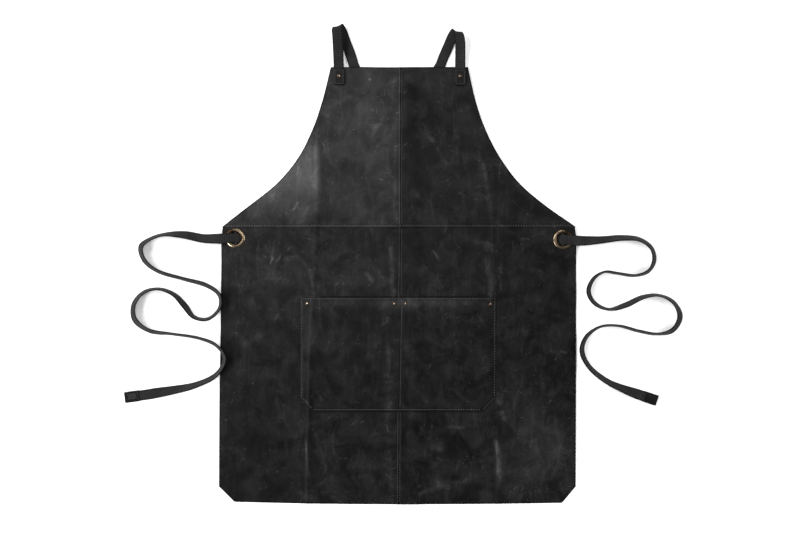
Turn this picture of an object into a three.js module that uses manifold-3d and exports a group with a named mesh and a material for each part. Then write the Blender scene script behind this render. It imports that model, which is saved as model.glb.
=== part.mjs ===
// A cross-back work apron of waxed leather, lying flat with its face up.
// Millimetres, +Z up, +Y towards the bib. The origin is under the middle of the leather.
import * as THREE from 'three';
import { mergeVertices } from 'three/addons/utils/BufferGeometryUtils.js';
import Module from 'manifold-3d';

const wasm = await Module();
wasm.setup();

// Leather, webbing and the clearance between pieces.
const leatherThickness = 1.8;
const gap = 0.3;
const layer = leatherThickness + gap;
const strapWidth = 20;
const strapThickness = 2;

// Outline of the leather.
const bibTop = 425.8;
const waist = 114;
const skirtTop = 128;
const seamEdge = 4;
const seamLapEdge = 24;
const hemMiddle = -425.8;

// Armholes: how far the bib reaches to each side at a height.
const armholeRows = [
  { y: bibTop, left: -130.5, right: 136.5 },
  { y: 361, left: -147, right: 151.5 },
  { y: 303, left: -167, right: 171.5 },
  { y: 244, left: -198, right: 203 },
  { y: 197, left: -238, right: 239.5 },
  { y: 151, left: -296, right: 294.5 },
  { y: waist, left: -344.5, right: 348.6 },
];

// Sides of the skirt, tucked in under the bib at the top and chamfered at the hem.
const skirtSideRows = [
  { y: skirtTop, left: -325, right: 326 },
  { y: waist, left: -341, right: 344.5 },
  { y: 92, left: -343.5, right: 347.5 },
  { y: -88, left: -345.6, right: 347.4 },
  { y: -228, left: -348, right: 347.2 },
  { y: -391, left: -348.6, right: 346.4 },
];
const hemCorners = { left: { x: -318.5, y: -421 }, right: { x: 320, y: -423 } };

// Pocket: one patch, sewn down the middle into two compartments.
const pocket = { left: -186, right: 190.4, top: -25, bottom: -243.3, chamfer: 24, divider: 8.5 };
const pocketGape = 3.2;

// Eyelets, cut through the skirt just under the waist.
const eyeletCentres = { left: { x: -316, y: 93 }, right: { x: 321, y: 90 } };
const eyelet = { hole: 12.7, barrel: 13.7, back: 17.5, front: 19, sheet: 1, dome: 1.9 };

// Tabs over the strap ends, and the rivets.
const tabSize = { width: 21.5, length: 32, corner: 1.5 };
const tabCentres = { left: { x: -113, y: 408 }, right: { x: 123, y: 408 } };
const tabRivet = { head: 4.2, dome: 1.6 };
const pocketRivet = { head: 3.3, dome: 1.2 };
const rivetShank = 1.3;
const rivetBack = { radius: 3.1, thickness: 0.6 };
const pocketRivetRows = [
  { name: 'pocket_rivet_outer_left', x: -177, y: -35 },
  { name: 'pocket_rivet_inner_left', x: -7, y: -35 },
  { name: 'pocket_rivet_inner_right', x: 15, y: -35 },
  { name: 'pocket_rivet_outer_right', x: 180, y: -36 },
];

const turnedSides = { eyelet: 28, rivet: 10 };
const cutReach = 30;

// Leather caps folded over the strap ends.
const tip = { length: 29, width: 21, wall: 1.2, slot: 2.8 };

// How the leather rises over what lies under it. It is faceted on one grid for all layers,
// with longer facets from the lap downwards, where it lies flat.
const facet = { width: 25, length: 25, longLength: 50 };
const gridHalf = { width: 375, length: 450 };
const reach = { flat: 46, fall: 50 };
const rise = { strap: 2.8, crossing: 5.3, eyelet: 4.6 };
const crossing = { x: -8, y: 346 };
const foldRidges = [
  { x: -150, height: 1.2 },
  { x: 200, height: 1.2 },
];
const ridgeHalfWidth = 25;
const lap = { leftFrom: -50, leftTo: 0, rightFrom: 25, rightTo: 75 };
const waistLap = { from: 150, to: 225 };

// Heights of the pieces stacked at each eyelet and each tab.
const groundClearance = 0.3;
const halfStrap = strapThickness / 2;
const strapLow = groundClearance + halfStrap;
const eyeletBase = rise.eyelet - gap - eyelet.sheet;
const eyeletHeight = eyelet.sheet + gap + layer + eyelet.dome;
const strapOverEyelet = eyeletBase + eyeletHeight + 3 * gap + halfStrap;
const strapUnderTab = rise.strap + layer + halfStrap;

// Left shoulder strap: from the left tab over its loop, under the bib and up through the right
// eyelet. Turn is the heading of the strap's width, in degrees.
const leftStrapHeld = [
  { x: -113, y: 394.5, z: strapUnderTab, turn: 180 },
  { x: -113, y: 412, z: strapUnderTab, turn: 180 },
  { x: -114, y: 430, z: strapUnderTab + 0.6, turn: 181 },
  { x: -116, y: 459, z: 12, turn: 184 },
  { x: -117, y: 482, z: 16.5, turn: 190 },
  { x: -117, y: 497, z: 15.5, turn: 196 },
  { x: -116, y: 503.5, z: 9.2, turn: 198 },
  { x: -111, y: 496.5, z: 3, turn: 200 },
  { x: -102, y: 476, z: 1.6, turn: 202 },
  { x: -84, y: 428, z: strapLow, turn: 209 },
  { x: -26, y: 361, z: strapLow, turn: 226 },
  { x: 64, y: 285, z: strapLow, turn: 230 },
  { x: 200, y: 174, z: strapLow, turn: 232 },
  { x: 269, y: 117, z: strapLow, turn: 240 },
  { x: 296, y: 95, z: strapLow + 0.1, turn: 258 },
  { x: 311, y: 90.4, z: strapLow + 0.4, turn: 269 },
  { x: 321, y: 90, z: 5.8, turn: 270 },
  { x: 332, y: 89.5, z: strapOverEyelet, turn: 270 },
];

// Right shoulder strap, laid over the left one where they cross.
const rightStrapHeld = [
  { x: 123, y: 394.5, z: strapUnderTab, turn: 0 },
  { x: 123, y: 412, z: strapUnderTab, turn: 0 },
  { x: 122, y: 430, z: strapUnderTab + 0.6, turn: 0 },
  { x: 121, y: 455, z: 11, turn: -2 },
  { x: 120, y: 473, z: 15, turn: -6 },
  { x: 118.5, y: 485.5, z: 14.3, turn: -12 },
  { x: 116, y: 492, z: 8.6, turn: -18 },
  { x: 109, y: 485, z: 3, turn: -21 },
  { x: 100, y: 467, z: 1.6, turn: -24 },
  { x: 82, y: 426, z: strapLow, turn: -31 },
  { x: 40, y: 387, z: 1.9, turn: -48 },
  { x: -8, y: 346, z: 3.95, turn: -50 },
  { x: -58, y: 304, z: 1.9, turn: -50 },
  { x: -131, y: 244, z: strapLow, turn: -50 },
  { x: -240, y: 153, z: strapLow, turn: -52 },
  { x: -269, y: 117, z: strapLow, turn: -66 },
  { x: -292, y: 97, z: strapLow + 0.1, turn: -80 },
  { x: -306, y: 93.3, z: strapLow + 0.4, turn: -89 },
  { x: -316, y: 93, z: 5.8, turn: -90 },
  { x: -327, y: 92.7, z: strapOverEyelet, turn: -90 },
];

// Loose ties, standing on edge along their bends. Lean is how far the strap tips from upright,
// towards the left of its run, and lift is how far it rides above the ground.
const leftStrapTie = [
  { x: 350.5, y: 87.5, lean: -80, lift: 7 },
  { x: 393.5, y: 89, lean: -42, lift: 0.8 },
  { x: 436, y: 93, lean: -29 },
  { x: 469, y: 90, lean: -23 },
  { x: 492, y: 74, lean: -25 },
  { x: 498, y: 51, lean: -29 },
  { x: 487, y: 29, lean: -21 },
  { x: 461, y: 20, lean: -9 },
  { x: 428, y: 24, lean: -7 },
  { x: 401, y: 27, lean: -8 },
  { x: 379.5, y: 13, lean: -21 },
  { x: 370.5, y: -11, lean: -29 },
  { x: 382, y: -33.5, lean: -21 },
  { x: 411, y: -45.5, lean: -7 },
  { x: 442, y: -37.5, lean: -19 },
  { x: 477, y: -21.5, lean: -13 },
  { x: 507.5, y: -18.5, lean: -9 },
  { x: 535.5, y: -32.5, lean: -23 },
  { x: 548, y: -59.5, lean: -38 },
  { x: 534.5, y: -85.5, lean: -32 },
  { x: 503.5, y: -93.5, lean: -11 },
  { x: 467, y: -87.5, lean: -10 },
  { x: 428, y: -77.5, lean: -8 },
  { x: 393, y: -79.5, lean: -12 },
  { x: 366.5, y: -98.5, lean: -25 },
  { x: 357.5, y: -125.5, lean: -31 },
  { x: 371.5, y: -157, lean: -25 },
  { x: 407, y: -186, lean: -28 },
  { x: 434.5, y: -199, lean: -40 },
  { x: 455.5, y: -207, lean: -62, lift: 0.2 },
  { x: 469.5, y: -212, lean: -86, lift: 1 },
  { x: 478.5, y: -215, lean: -90, lift: 1.3 },
  { x: 502.5, y: -223, lean: -90, lift: 1.3 },
];
const rightStrapTie = [
  { x: -345.5, y: 91.5, lean: 80, lift: 7 },
  { x: -377.5, y: 92, lean: 56, lift: 1.8 },
  { x: -414.5, y: 99, lean: 42 },
  { x: -453, y: 99.5, lean: 17 },
  { x: -479.5, y: 91.5, lean: 19 },
  { x: -499, y: 76, lean: 34 },
  { x: -494, y: 52, lean: 29 },
  { x: -469, y: 30, lean: 19 },
  { x: -418, y: 14, lean: 16 },
  { x: -369.5, y: 0, lean: 22 },
  { x: -346.5, y: -18.5, lean: 22 },
  { x: -346.5, y: -43.5, lean: 19 },
  { x: -369, y: -64.5, lean: 11 },
  { x: -396, y: -60.5, lean: 8 },
  { x: -414, y: -38.5, lean: 20 },
  { x: -435, y: -16.5, lean: 10 },
  { x: -465, y: -6, lean: 7 },
  { x: -495.5, y: -14, lean: 19 },
  { x: -513.5, y: -38.5, lean: 31 },
  { x: -511, y: -65.5, lean: 36 },
  { x: -484, y: -86.5, lean: 24 },
  { x: -437, y: -93.5, lean: 12 },
  { x: -387, y: -101.5, lean: 15 },
  { x: -352, y: -116, lean: 20, lift: 1.6 },
  { x: -336, y: -141, lean: 22, lift: 2.9 },
  { x: -352, y: -172, lean: 22, lift: 1.6 },
  { x: -392, y: -192.5, lean: 27 },
  { x: -440.5, y: -203.5, lean: 48 },
  { x: -469, y: -208.5, lean: 72, lift: 0.5 },
  { x: -485.5, y: -211.5, lean: 88, lift: 1.1 },
  { x: -502.5, y: -214, lean: 90, lift: 1.3 },
  { x: -529.5, y: -217.5, lean: 90, lift: 1.3 },
];
const stepsPerRow = 3;

const leather = new THREE.MeshStandardMaterial({ color: 0x242322, roughness: 0.6, metalness: 0 });
const webbing = new THREE.MeshStandardMaterial({ color: 0x1d1d1e, roughness: 0.9, metalness: 0 });
const brass = new THREE.MeshStandardMaterial({ color: 0x9a743f, roughness: 0.35, metalness: 1 });
const copper = new THREE.MeshStandardMaterial({ color: 0xa9774c, roughness: 0.32, metalness: 1 });

// Joining and cutting work on closed meshes that hold positions alone.
function solidFrom(geometry) {
  const bare = geometry.clone();
  bare.deleteAttribute('normal');
  bare.deleteAttribute('uv');
  const merged = mergeVertices(bare, 1e-4);
  const vertProperties = new Float32Array(merged.attributes.position.array);
  const triVerts = new Uint32Array(merged.index.array);
  return new wasm.Manifold(new wasm.Mesh({ numProp: 3, vertProperties, triVerts }));
}

function geometryFrom(solid) {
  const mesh = solid.getMesh();
  const geometry = new THREE.BufferGeometry();
  geometry.setAttribute('position', new THREE.BufferAttribute(mesh.vertProperties, 3));
  geometry.setIndex(new THREE.BufferAttribute(mesh.triVerts, 1));
  geometry.computeVertexNormals();
  return geometry;
}

function piece(name, geometry, material) {
  const mesh = new THREE.Mesh(geometry, material);
  mesh.name = name;
  return mesh;
}

const clamp01 = (value) => THREE.MathUtils.clamp(value, 0, 1);
const ramp = (value, from, to) => clamp01((value - from) / (to - from));
const fade = (distance) => 1 - THREE.MathUtils.smoothstep(distance, reach.flat, reach.flat + reach.fall);

function distanceToRun(x, y, rows) {
  const point = new THREE.Vector3(x, y, 0);
  const nearest = new THREE.Vector3();
  let best = Infinity;
  for (let i = 1; i < rows.length; i++) {
    const from = new THREE.Vector3(rows[i - 1].x, rows[i - 1].y, 0);
    const to = new THREE.Vector3(rows[i].x, rows[i].y, 0);
    new THREE.Line3(from, to).closestPointToPoint(point, true, nearest);
    best = Math.min(best, nearest.distanceTo(point));
  }
  return best;
}

// Only the stretches that run under the leather raise it.
const isUnderLeather = (row) => row.y < bibTop + facet.length && row.z < strapUnderTab;
const hiddenRuns = [leftStrapHeld, rightStrapHeld].map((rows) => rows.filter(isUnderLeather));

function drape(x, y) {
  const heights = hiddenRuns.map((rows) => rise.strap * fade(distanceToRun(x, y, rows)));
  heights.push(rise.crossing * fade(Math.hypot(x - crossing.x, y - crossing.y)));
  for (const centre of Object.values(eyeletCentres)) {
    heights.push(rise.eyelet * fade(Math.hypot(x - centre.x, y - centre.y)));
  }
  let ridges = 0;
  for (const ridge of foldRidges) {
    ridges += ridge.height * clamp01(1 - Math.abs(x - ridge.x) / ridgeHalfWidth);
  }
  return Math.max(...heights) + ridges;
}

// Undersides of the layers. Right panels lap over left ones, and the bib laps over the skirt.
const leftLap = (x) => ramp(x, lap.leftFrom, lap.leftTo);
const rightLap = (x) => 1 - ramp(x, lap.rightFrom, lap.rightTo);
const seamHump = (x) => Math.min(leftLap(x), rightLap(x));
const overSkirt = (y) => 1 - ramp(y, waistLap.from, waistLap.to);
const undersides = {
  skirt_left: (x, y) => drape(x, y),
  skirt_right: (x, y) => drape(x, y) + layer * rightLap(x),
  bib_left: (x, y) => drape(x, y) + layer * overSkirt(y) * (1 + leftLap(x)),
  bib_right: (x, y) => drape(x, y) + layer * overSkirt(y) * (1 + rightLap(x)) + layer * rightLap(x),
  pocket: (x, y) => drape(x, y) + layer + layer * seamHump(x) + pocketBulge(x, y),
};

function pocketBulge(x, y) {
  const [from, to] = x < pocket.divider ? [pocket.left, pocket.divider] : [pocket.divider, pocket.right];
  const across = Math.sin(Math.PI * ramp(x, from, to)) ** 2;
  return pocketGape * across * ramp(y, pocket.bottom, pocket.top) ** 1.5;
}

// Lines of the common grid.
const gridColumns = [];
for (let x = -gridHalf.width; x <= gridHalf.width; x += facet.width) {
  gridColumns.push(x);
}
const gridRows = [];
for (let y = -gridHalf.length; y <= gridHalf.length; y += y < 0 ? facet.longLength : facet.length) {
  gridRows.push(y);
}
const lineBelow = (lines, value) => lines.findLastIndex((line) => line < value);
const lineAbove = (lines, value) => lines.findIndex((line) => line > value);

// Height of an underside at a point, read off the same flat facets as the leather has.
function heightAt(underside, x, y) {
  const i = lineBelow(gridColumns, x);
  const j = lineBelow(gridRows, y);
  const [west, east] = gridColumns.slice(i, i + 2);
  const [south, north] = gridRows.slice(j, j + 2);
  const right = (x - west) / (east - west);
  const up = (y - south) / (north - south);
  const near = underside(west, south);
  const far = underside(east, north);
  if (right >= up) {
    const corner = underside(east, south);
    return near + right * (corner - near) + up * (far - corner);
  }
  const corner = underside(west, north);
  return near + up * (corner - near) + right * (far - corner);
}

// A sheet of leather over the common grid, wide enough for the outline that is cut from it.
function leatherSlab(underside, outline) {
  const box = new THREE.Box2().setFromPoints(outline.getPoints());
  const xLines = gridColumns.slice(lineBelow(gridColumns, box.min.x), lineAbove(gridColumns, box.max.x) + 1);
  const yLines = gridRows.slice(lineBelow(gridRows, box.min.y), lineAbove(gridRows, box.max.y) + 1);
  const columns = xLines.length;
  const rows = yLines.length;
  const positions = [];
  for (const thickness of [0, leatherThickness]) {
    for (const y of yLines) {
      for (const x of xLines) {
        positions.push(x, y, underside(x, y) + thickness);
      }
    }
  }
  const top = columns * rows;
  const faces = [];
  const quad = (a, b, c, d) => faces.push(a, b, c, a, c, d);
  for (let j = 0; j < rows - 1; j++) {
    for (let i = 0; i < columns - 1; i++) {
      const a = j * columns + i;
      const c = a + columns + 1;
      quad(top + a, top + a + 1, top + c, top + c - 1);
      faces.push(a, c, a + 1, a, c - 1, c);
    }
  }
  for (let i = 0; i < columns - 1; i++) {
    const back = (rows - 1) * columns + i;
    quad(i, i + 1, top + i + 1, top + i);
    quad(back + 1, back, top + back, top + back + 1);
  }
  for (let j = 0; j < rows - 1; j++) {
    const west = j * columns;
    const east = west + columns - 1;
    quad(west + columns, west, top + west, top + west + columns);
    quad(east, east + columns, top + east + columns, top + east);
  }
  const geometry = new THREE.BufferGeometry();
  geometry.setAttribute('position', new THREE.Float32BufferAttribute(positions, 3));
  geometry.setIndex(faces);
  return geometry;
}

function cutFromLeather(underside, outline) {
  const options = { depth: 2 * cutReach, bevelEnabled: false, curveSegments: 3 };
  const prism = new THREE.ExtrudeGeometry(outline, options).translate(0, 0, -cutReach);
  return solidFrom(leatherSlab(underside, outline)).intersect(solidFrom(prism));
}

const pointsOf = (rows, side) => rows.map((row) => new THREE.Vector2(row[side], row.y));

function bibOutline(side, seam) {
  const outline = new THREE.Shape();
  const edge = pointsOf(armholeRows, side);
  outline.moveTo(seam, waist);
  outline.lineTo(seam, bibTop);
  outline.lineTo(edge[0].x, edge[0].y);
  outline.splineThru(edge.slice(1));
  outline.closePath();
  return outline;
}

function skirtOutline(side, seam) {
  const outline = new THREE.Shape();
  const corner = hemCorners[side];
  outline.moveTo(seam, hemMiddle);
  outline.lineTo(seam, skirtTop);
  for (const point of pointsOf(skirtSideRows, side)) {
    outline.lineTo(point.x, point.y);
  }
  outline.lineTo(corner.x, corner.y);
  outline.quadraticCurveTo((corner.x + seam) / 2, hemMiddle, seam, hemMiddle);
  return outline;
}

function pocketOutline() {
  const { left, right, top, bottom, chamfer } = pocket;
  const outline = new THREE.Shape();
  outline.moveTo(left, top);
  outline.lineTo(left, bottom + chamfer);
  outline.lineTo(left + chamfer, bottom);
  outline.lineTo(right - chamfer, bottom);
  outline.lineTo(right, bottom + chamfer);
  outline.lineTo(right, top);
  outline.closePath();
  return outline;
}

// Turned pieces: rows of radius and height, turned about the vertical.
function turned(rows, segments) {
  const profile = rows.map(([radius, height]) => new THREE.Vector2(radius, height));
  return new THREE.LatheGeometry(profile, segments).rotateX(Math.PI / 2);
}

function eyeletGeometry() {
  const face = eyelet.sheet + gap + layer;
  const crown = (eyelet.hole + eyelet.front) / 2;
  const flank = (eyelet.front - eyelet.hole) / 4;
  return turned([
    [eyelet.hole, 0],
    [eyelet.back, 0],
    [eyelet.back, eyelet.sheet],
    [eyelet.barrel, eyelet.sheet],
    [eyelet.barrel, face],
    [eyelet.front, face],
    [eyelet.front, face + eyelet.dome * 0.4],
    [crown + flank, face + eyelet.dome * 0.9],
    [crown, face + eyelet.dome],
    [crown - flank, face + eyelet.dome * 0.8],
    [eyelet.hole, face],
    [eyelet.hole, 0],
  ], turnedSides.eyelet);
}

function rivetGeometry(kind, stack) {
  const seat = stack + gap;
  return turned([
    [0, 0],
    [rivetBack.radius, 0],
    [rivetBack.radius, rivetBack.thickness],
    [rivetShank, rivetBack.thickness],
    [rivetShank, seat],
    [kind.head, seat],
    [kind.head * 0.9, seat + kind.dome * 0.6],
    [kind.head * 0.5, seat + kind.dome * 0.95],
    [0, seat + kind.dome],
  ], turnedSides.rivet);
}

// Space for a rivet's shank, with a seat for its back pressed into the leather.
function rivetHole(x, y, z) {
  const shank = rivetShank + gap;
  const back = rivetBack.radius + gap;
  const seat = rivetBack.thickness + gap;
  const cutter = turned([
    [0, -cutReach],
    [back, -cutReach],
    [back, seat],
    [shank, seat],
    [shank, cutReach],
    [0, cutReach],
  ], turnedSides.rivet);
  return solidFrom(cutter.translate(x, y, z));
}

// A flat strap's centreline, with the direction across its width at every row.
class StrapPath extends THREE.CatmullRomCurve3 {
  constructor(points, across) {
    super(points);
    this.across = new THREE.CatmullRomCurve3(across, false, 'catmullrom', 0.5);
  }

  getSpacedPoints(steps) {
    return this.getPoints(steps);
  }

  computeFrenetFrames(steps) {
    const frames = { tangents: [], normals: [], binormals: [] };
    for (let i = 0; i <= steps; i++) {
      const tangent = this.getTangent(i / steps);
      const side = this.across.getPoint(i / steps);
      side.addScaledVector(tangent, -side.dot(tangent)).normalize();
      frames.tangents.push(tangent);
      frames.normals.push(side);
      frames.binormals.push(tangent.clone().cross(side));
    }
    return frames;
  }
}

function strapPath(held, tie) {
  const points = held.map((row) => new THREE.Vector3(row.x, row.y, row.z));
  const across = held.map((row) => {
    const turn = THREE.MathUtils.degToRad(row.turn);
    return new THREE.Vector3(Math.cos(turn), Math.sin(turn), 0);
  });
  tie.forEach((row, i) => {
    const before = tie[Math.max(i - 1, 0)];
    const after = tie[Math.min(i + 1, tie.length - 1)];
    const run = new THREE.Vector3(after.x - before.x, after.y - before.y, 0).normalize();
    const lean = THREE.MathUtils.degToRad(row.lean);
    const halfHeight = (strapWidth * Math.cos(lean) + strapThickness * Math.abs(Math.sin(lean))) / 2;
    points.push(new THREE.Vector3(row.x, row.y, halfHeight + groundClearance + (row.lift ?? 0)));
    across.push(new THREE.Vector3(-run.y * Math.sin(lean), run.x * Math.sin(lean), Math.cos(lean)));
  });
  return new StrapPath(points, across);
}

function strapGeometry(path) {
  const halfWidth = strapWidth / 2;
  const section = new THREE.Shape();
  section.moveTo(-halfWidth, -halfStrap);
  section.lineTo(halfWidth, -halfStrap);
  section.lineTo(halfWidth, halfStrap);
  section.lineTo(-halfWidth, halfStrap);
  section.closePath();
  const steps = (path.points.length - 1) * stepsPerRow;
  return new THREE.ExtrudeGeometry(section, { steps, extrudePath: path, bevelEnabled: false });
}

// A strip of leather folded round the strap's end, drawn from the side and extruded across.
function tipGeometry() {
  const height = tip.slot + 2 * tip.wall;
  const bend = height / 2;
  const fold = tip.length - bend;
  const outline = new THREE.Shape();
  outline.moveTo(0, 0);
  outline.lineTo(fold, 0);
  outline.absarc(fold, bend, bend, -Math.PI / 2, Math.PI / 2, false);
  outline.lineTo(0, height);
  outline.lineTo(0, height - tip.wall);
  outline.lineTo(fold, height - tip.wall);
  outline.absarc(fold, bend, tip.slot / 2, Math.PI / 2, -Math.PI / 2, true);
  outline.lineTo(0, tip.wall);
  outline.closePath();
  const options = { depth: tip.width, bevelEnabled: false, curveSegments: 6 };
  return new THREE.ExtrudeGeometry(outline, options).rotateX(Math.PI / 2).translate(0, tip.width / 2, 0);
}

function placeTip(mesh, tie) {
  const [before, end] = tie.slice(-2);
  const heading = Math.atan2(end.y - before.y, end.x - before.x);
  const back = tip.length - tip.wall - gap - tip.slot / 2;
  mesh.position.set(end.x - back * Math.cos(heading), end.y - back * Math.sin(heading), 0);
  mesh.rotation.z = heading;
}

function tabGeometry() {
  const { width, length, corner } = tabSize;
  const right = width / 2;
  const top = length / 2;
  const outline = new THREE.Shape();
  outline.moveTo(-right, top);
  outline.lineTo(-right, corner - top);
  outline.absarc(corner - right, corner - top, corner, Math.PI, 1.5 * Math.PI, false);
  outline.absarc(right - corner, corner - top, corner, -Math.PI / 2, 0, false);
  outline.lineTo(right, top);
  outline.closePath();
  const options = { depth: leatherThickness, bevelEnabled: false, curveSegments: 3 };
  return new THREE.ExtrudeGeometry(outline, options);
}

const apron = new THREE.Group();
const panels = {
  skirt_left: cutFromLeather(undersides.skirt_left, skirtOutline('left', seamLapEdge)),
  skirt_right: cutFromLeather(undersides.skirt_right, skirtOutline('right', seamEdge)),
  bib_left: cutFromLeather(undersides.bib_left, bibOutline('left', seamLapEdge)),
  bib_right: cutFromLeather(undersides.bib_right, bibOutline('right', seamEdge)),
  pocket: cutFromLeather(undersides.pocket, pocketOutline()),
};

for (const row of pocketRivetRows) {
  const base = heightAt(undersides.skirt_left, row.x, row.y);
  const onRightPanel = row.x > seamLapEdge;
  const under = onRightPanel ? heightAt(undersides.skirt_right, row.x, row.y) : base;
  const hole = rivetHole(row.x, row.y, under);
  for (const name of ['skirt_left', 'skirt_right', 'pocket']) {
    panels[name] = panels[name].subtract(hole);
  }
  const stack = heightAt(undersides.pocket, row.x, row.y) + leatherThickness - under;
  const rivet = piece(row.name, rivetGeometry(pocketRivet, stack), copper);
  rivet.position.set(row.x, row.y, under);
  apron.add(rivet);
}

for (const side of ['left', 'right']) {
  const centre = eyeletCentres[side];
  const ring = piece(`eyelet_${side}`, eyeletGeometry(), brass);
  ring.position.set(centre.x, centre.y, eyeletBase);
  apron.add(ring);
  const punchRadius = eyelet.barrel + 2 * gap;
  const punch = new THREE.CylinderGeometry(punchRadius, punchRadius, 2 * cutReach, turnedSides.eyelet);
  const hole = solidFrom(punch.rotateX(Math.PI / 2).translate(centre.x, centre.y, 0));
  panels[`skirt_${side}`] = panels[`skirt_${side}`].subtract(hole);
}

const straps = {
  left: { held: leftStrapHeld, tie: leftStrapTie },
  right: { held: rightStrapHeld, tie: rightStrapTie },
};
for (const [side, { held, tie }] of Object.entries(straps)) {
  const centre = tabCentres[side];
  const bib = `bib_${side}`;
  const under = heightAt(undersides[bib], centre.x, centre.y);
  const hole = rivetHole(centre.x, centre.y, under);
  panels[bib] = panels[bib].subtract(hole);

  const strap = solidFrom(strapGeometry(strapPath(held, tie))).subtract(hole);
  apron.add(piece(`strap_${side}`, geometryFrom(strap), webbing));

  const tabUnder = strapUnderTab + halfStrap + gap;
  const tab = solidFrom(tabGeometry().translate(centre.x, centre.y, tabUnder)).subtract(hole);
  apron.add(piece(`strap_tab_${side}`, geometryFrom(tab), leather));

  const stack = tabUnder + leatherThickness - under;
  const rivet = piece(`tab_rivet_${side}`, rivetGeometry(tabRivet, stack), copper);
  rivet.position.set(centre.x, centre.y, under);
  apron.add(rivet);

  const cap = piece(`strap_tip_${side}`, tipGeometry(), leather);
  placeTip(cap, tie);
  apron.add(cap);
}

for (const [name, solid] of Object.entries(panels)) {
  apron.add(piece(name, geometryFrom(solid), leather));
}

export default apron;
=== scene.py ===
import bpy
import numpy as np
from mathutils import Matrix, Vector


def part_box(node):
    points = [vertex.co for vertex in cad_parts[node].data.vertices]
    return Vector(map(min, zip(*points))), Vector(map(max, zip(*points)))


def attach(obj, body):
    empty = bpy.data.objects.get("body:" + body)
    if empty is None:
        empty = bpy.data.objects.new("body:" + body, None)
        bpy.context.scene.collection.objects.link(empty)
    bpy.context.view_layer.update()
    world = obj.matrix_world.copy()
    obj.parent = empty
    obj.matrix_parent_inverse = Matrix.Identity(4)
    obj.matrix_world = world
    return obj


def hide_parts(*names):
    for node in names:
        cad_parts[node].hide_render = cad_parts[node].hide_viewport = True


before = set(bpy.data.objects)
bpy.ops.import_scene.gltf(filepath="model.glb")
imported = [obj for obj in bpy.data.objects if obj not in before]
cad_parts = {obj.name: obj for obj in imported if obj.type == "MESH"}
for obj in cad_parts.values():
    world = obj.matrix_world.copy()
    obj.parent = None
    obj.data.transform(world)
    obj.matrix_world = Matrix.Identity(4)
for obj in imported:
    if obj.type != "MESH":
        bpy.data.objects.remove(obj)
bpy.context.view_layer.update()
print("frame:", len(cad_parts), "nodes")

mm = 0.001  # tables and sizes below are in millimetres, meshes in metres
fullTurn = 2 * np.pi
rng = np.random.default_rng(11)


# Camera: straight above, framed as in the photograph
view = {"centre": (4.2, 37.5), "width": 1560.0, "lens": 50.0, "sensor": 36.0}


def setCamera():
    data = bpy.data.cameras.new("camera")
    data.lens = view["lens"]
    data.sensor_width = view["sensor"]
    camera = bpy.data.objects.new("camera", data)
    height = view["width"] * view["lens"] / view["sensor"]
    camera.location = (view["centre"][0] * mm, view["centre"][1] * mm, height * mm)
    bpy.context.scene.collection.objects.link(camera)
    bpy.context.scene.camera = camera


setCamera()
print("camera set")


# Light: two big lamps on the left, a weak one on the right and two small ones, overhead and beyond
# the bib, that mostly glint in the metal
lighting = {
    "world": 0.13,
    "aim": (0.0, 0.05, 0.0),
    "lamps": [  # place in metres, width of the lamp, power in watts
        ((-2.5, 1.4, 2.3), 1.8, 120.0),
        ((-2.5, -1.6, 2.1), 1.3, 125.0),
        ((2.3, 0.35, 1.6), 1.4, 52.0),
        ((-0.15, 0.5, 2.6), 0.3, 8.0),
        ((0.1, 2.6, 2.2), 0.6, 16.0),
    ],
}


def setLight():
    for number, (place, width, power) in enumerate(lighting["lamps"]):
        data = bpy.data.lights.new(f"lamp{number}", "AREA")
        data.size = width
        data.energy = power
        lamp = bpy.data.objects.new(f"lamp{number}", data)
        lamp.location = place
        lamp.rotation_euler = (Vector(lighting["aim"]) - Vector(place)).to_track_quat("-Z", "Y").to_euler()
        bpy.context.scene.collection.objects.link(lamp)
    world = bpy.data.worlds.new("studio")
    world.use_nodes = True
    background = world.node_tree.nodes["Background"].inputs
    background["Color"].default_value = (1, 1, 1, 1)
    background["Strength"].default_value = lighting["world"]
    bpy.context.scene.world = world
    bpy.context.scene.view_settings.view_transform = "Standard"


setLight()
print("lamps set")


# Small helpers for meshes and curves
def smoothstep(low, high, value):
    t = np.clip((value - low) / (high - low), 0, 1)
    return t * t * (3 - 2 * t)


def fadeOut(distance, flat, fall):
    # 1 within the flat distance, down to 0 over the fall
    return 1 - smoothstep(flat, flat + fall, distance)


def bell(distance, width):
    return np.exp(-((distance / width) ** 2))


def newMesh(name, points, faces, materials, faceMaterial=None, uv=None):
    mesh = bpy.data.meshes.new(name)
    corners = [tuple(map(int, face)) for face in faces]
    mesh.from_pydata([tuple(p) for p in np.asarray(points) * mm], [], corners)
    for material in materials:
        mesh.materials.append(material)
    if faceMaterial is not None:
        mesh.polygons.foreach_set("material_index", np.asarray(faceMaterial, np.int32))
    if uv is not None:
        layer = mesh.uv_layers.new(name="weave")
        owners = np.empty(len(mesh.loops), np.int32)
        mesh.loops.foreach_get("vertex_index", owners)
        layer.data.foreach_set("uv", np.asarray(uv, np.float32)[owners].ravel())
    mesh.polygons.foreach_set("use_smooth", np.full(len(mesh.polygons), True))
    mesh.update()
    piece = bpy.data.objects.new(name, mesh)
    bpy.context.scene.collection.objects.link(piece)
    return piece


def setAttribute(piece, name, values):
    attribute = piece.data.attributes.new(name, "FLOAT", "POINT")
    attribute.data.foreach_set("value", np.asarray(values, np.float32))


def settle(piece, slot, *nodes):
    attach(piece, "root")
    if nodes:
        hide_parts(*nodes)
    return piece


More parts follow.
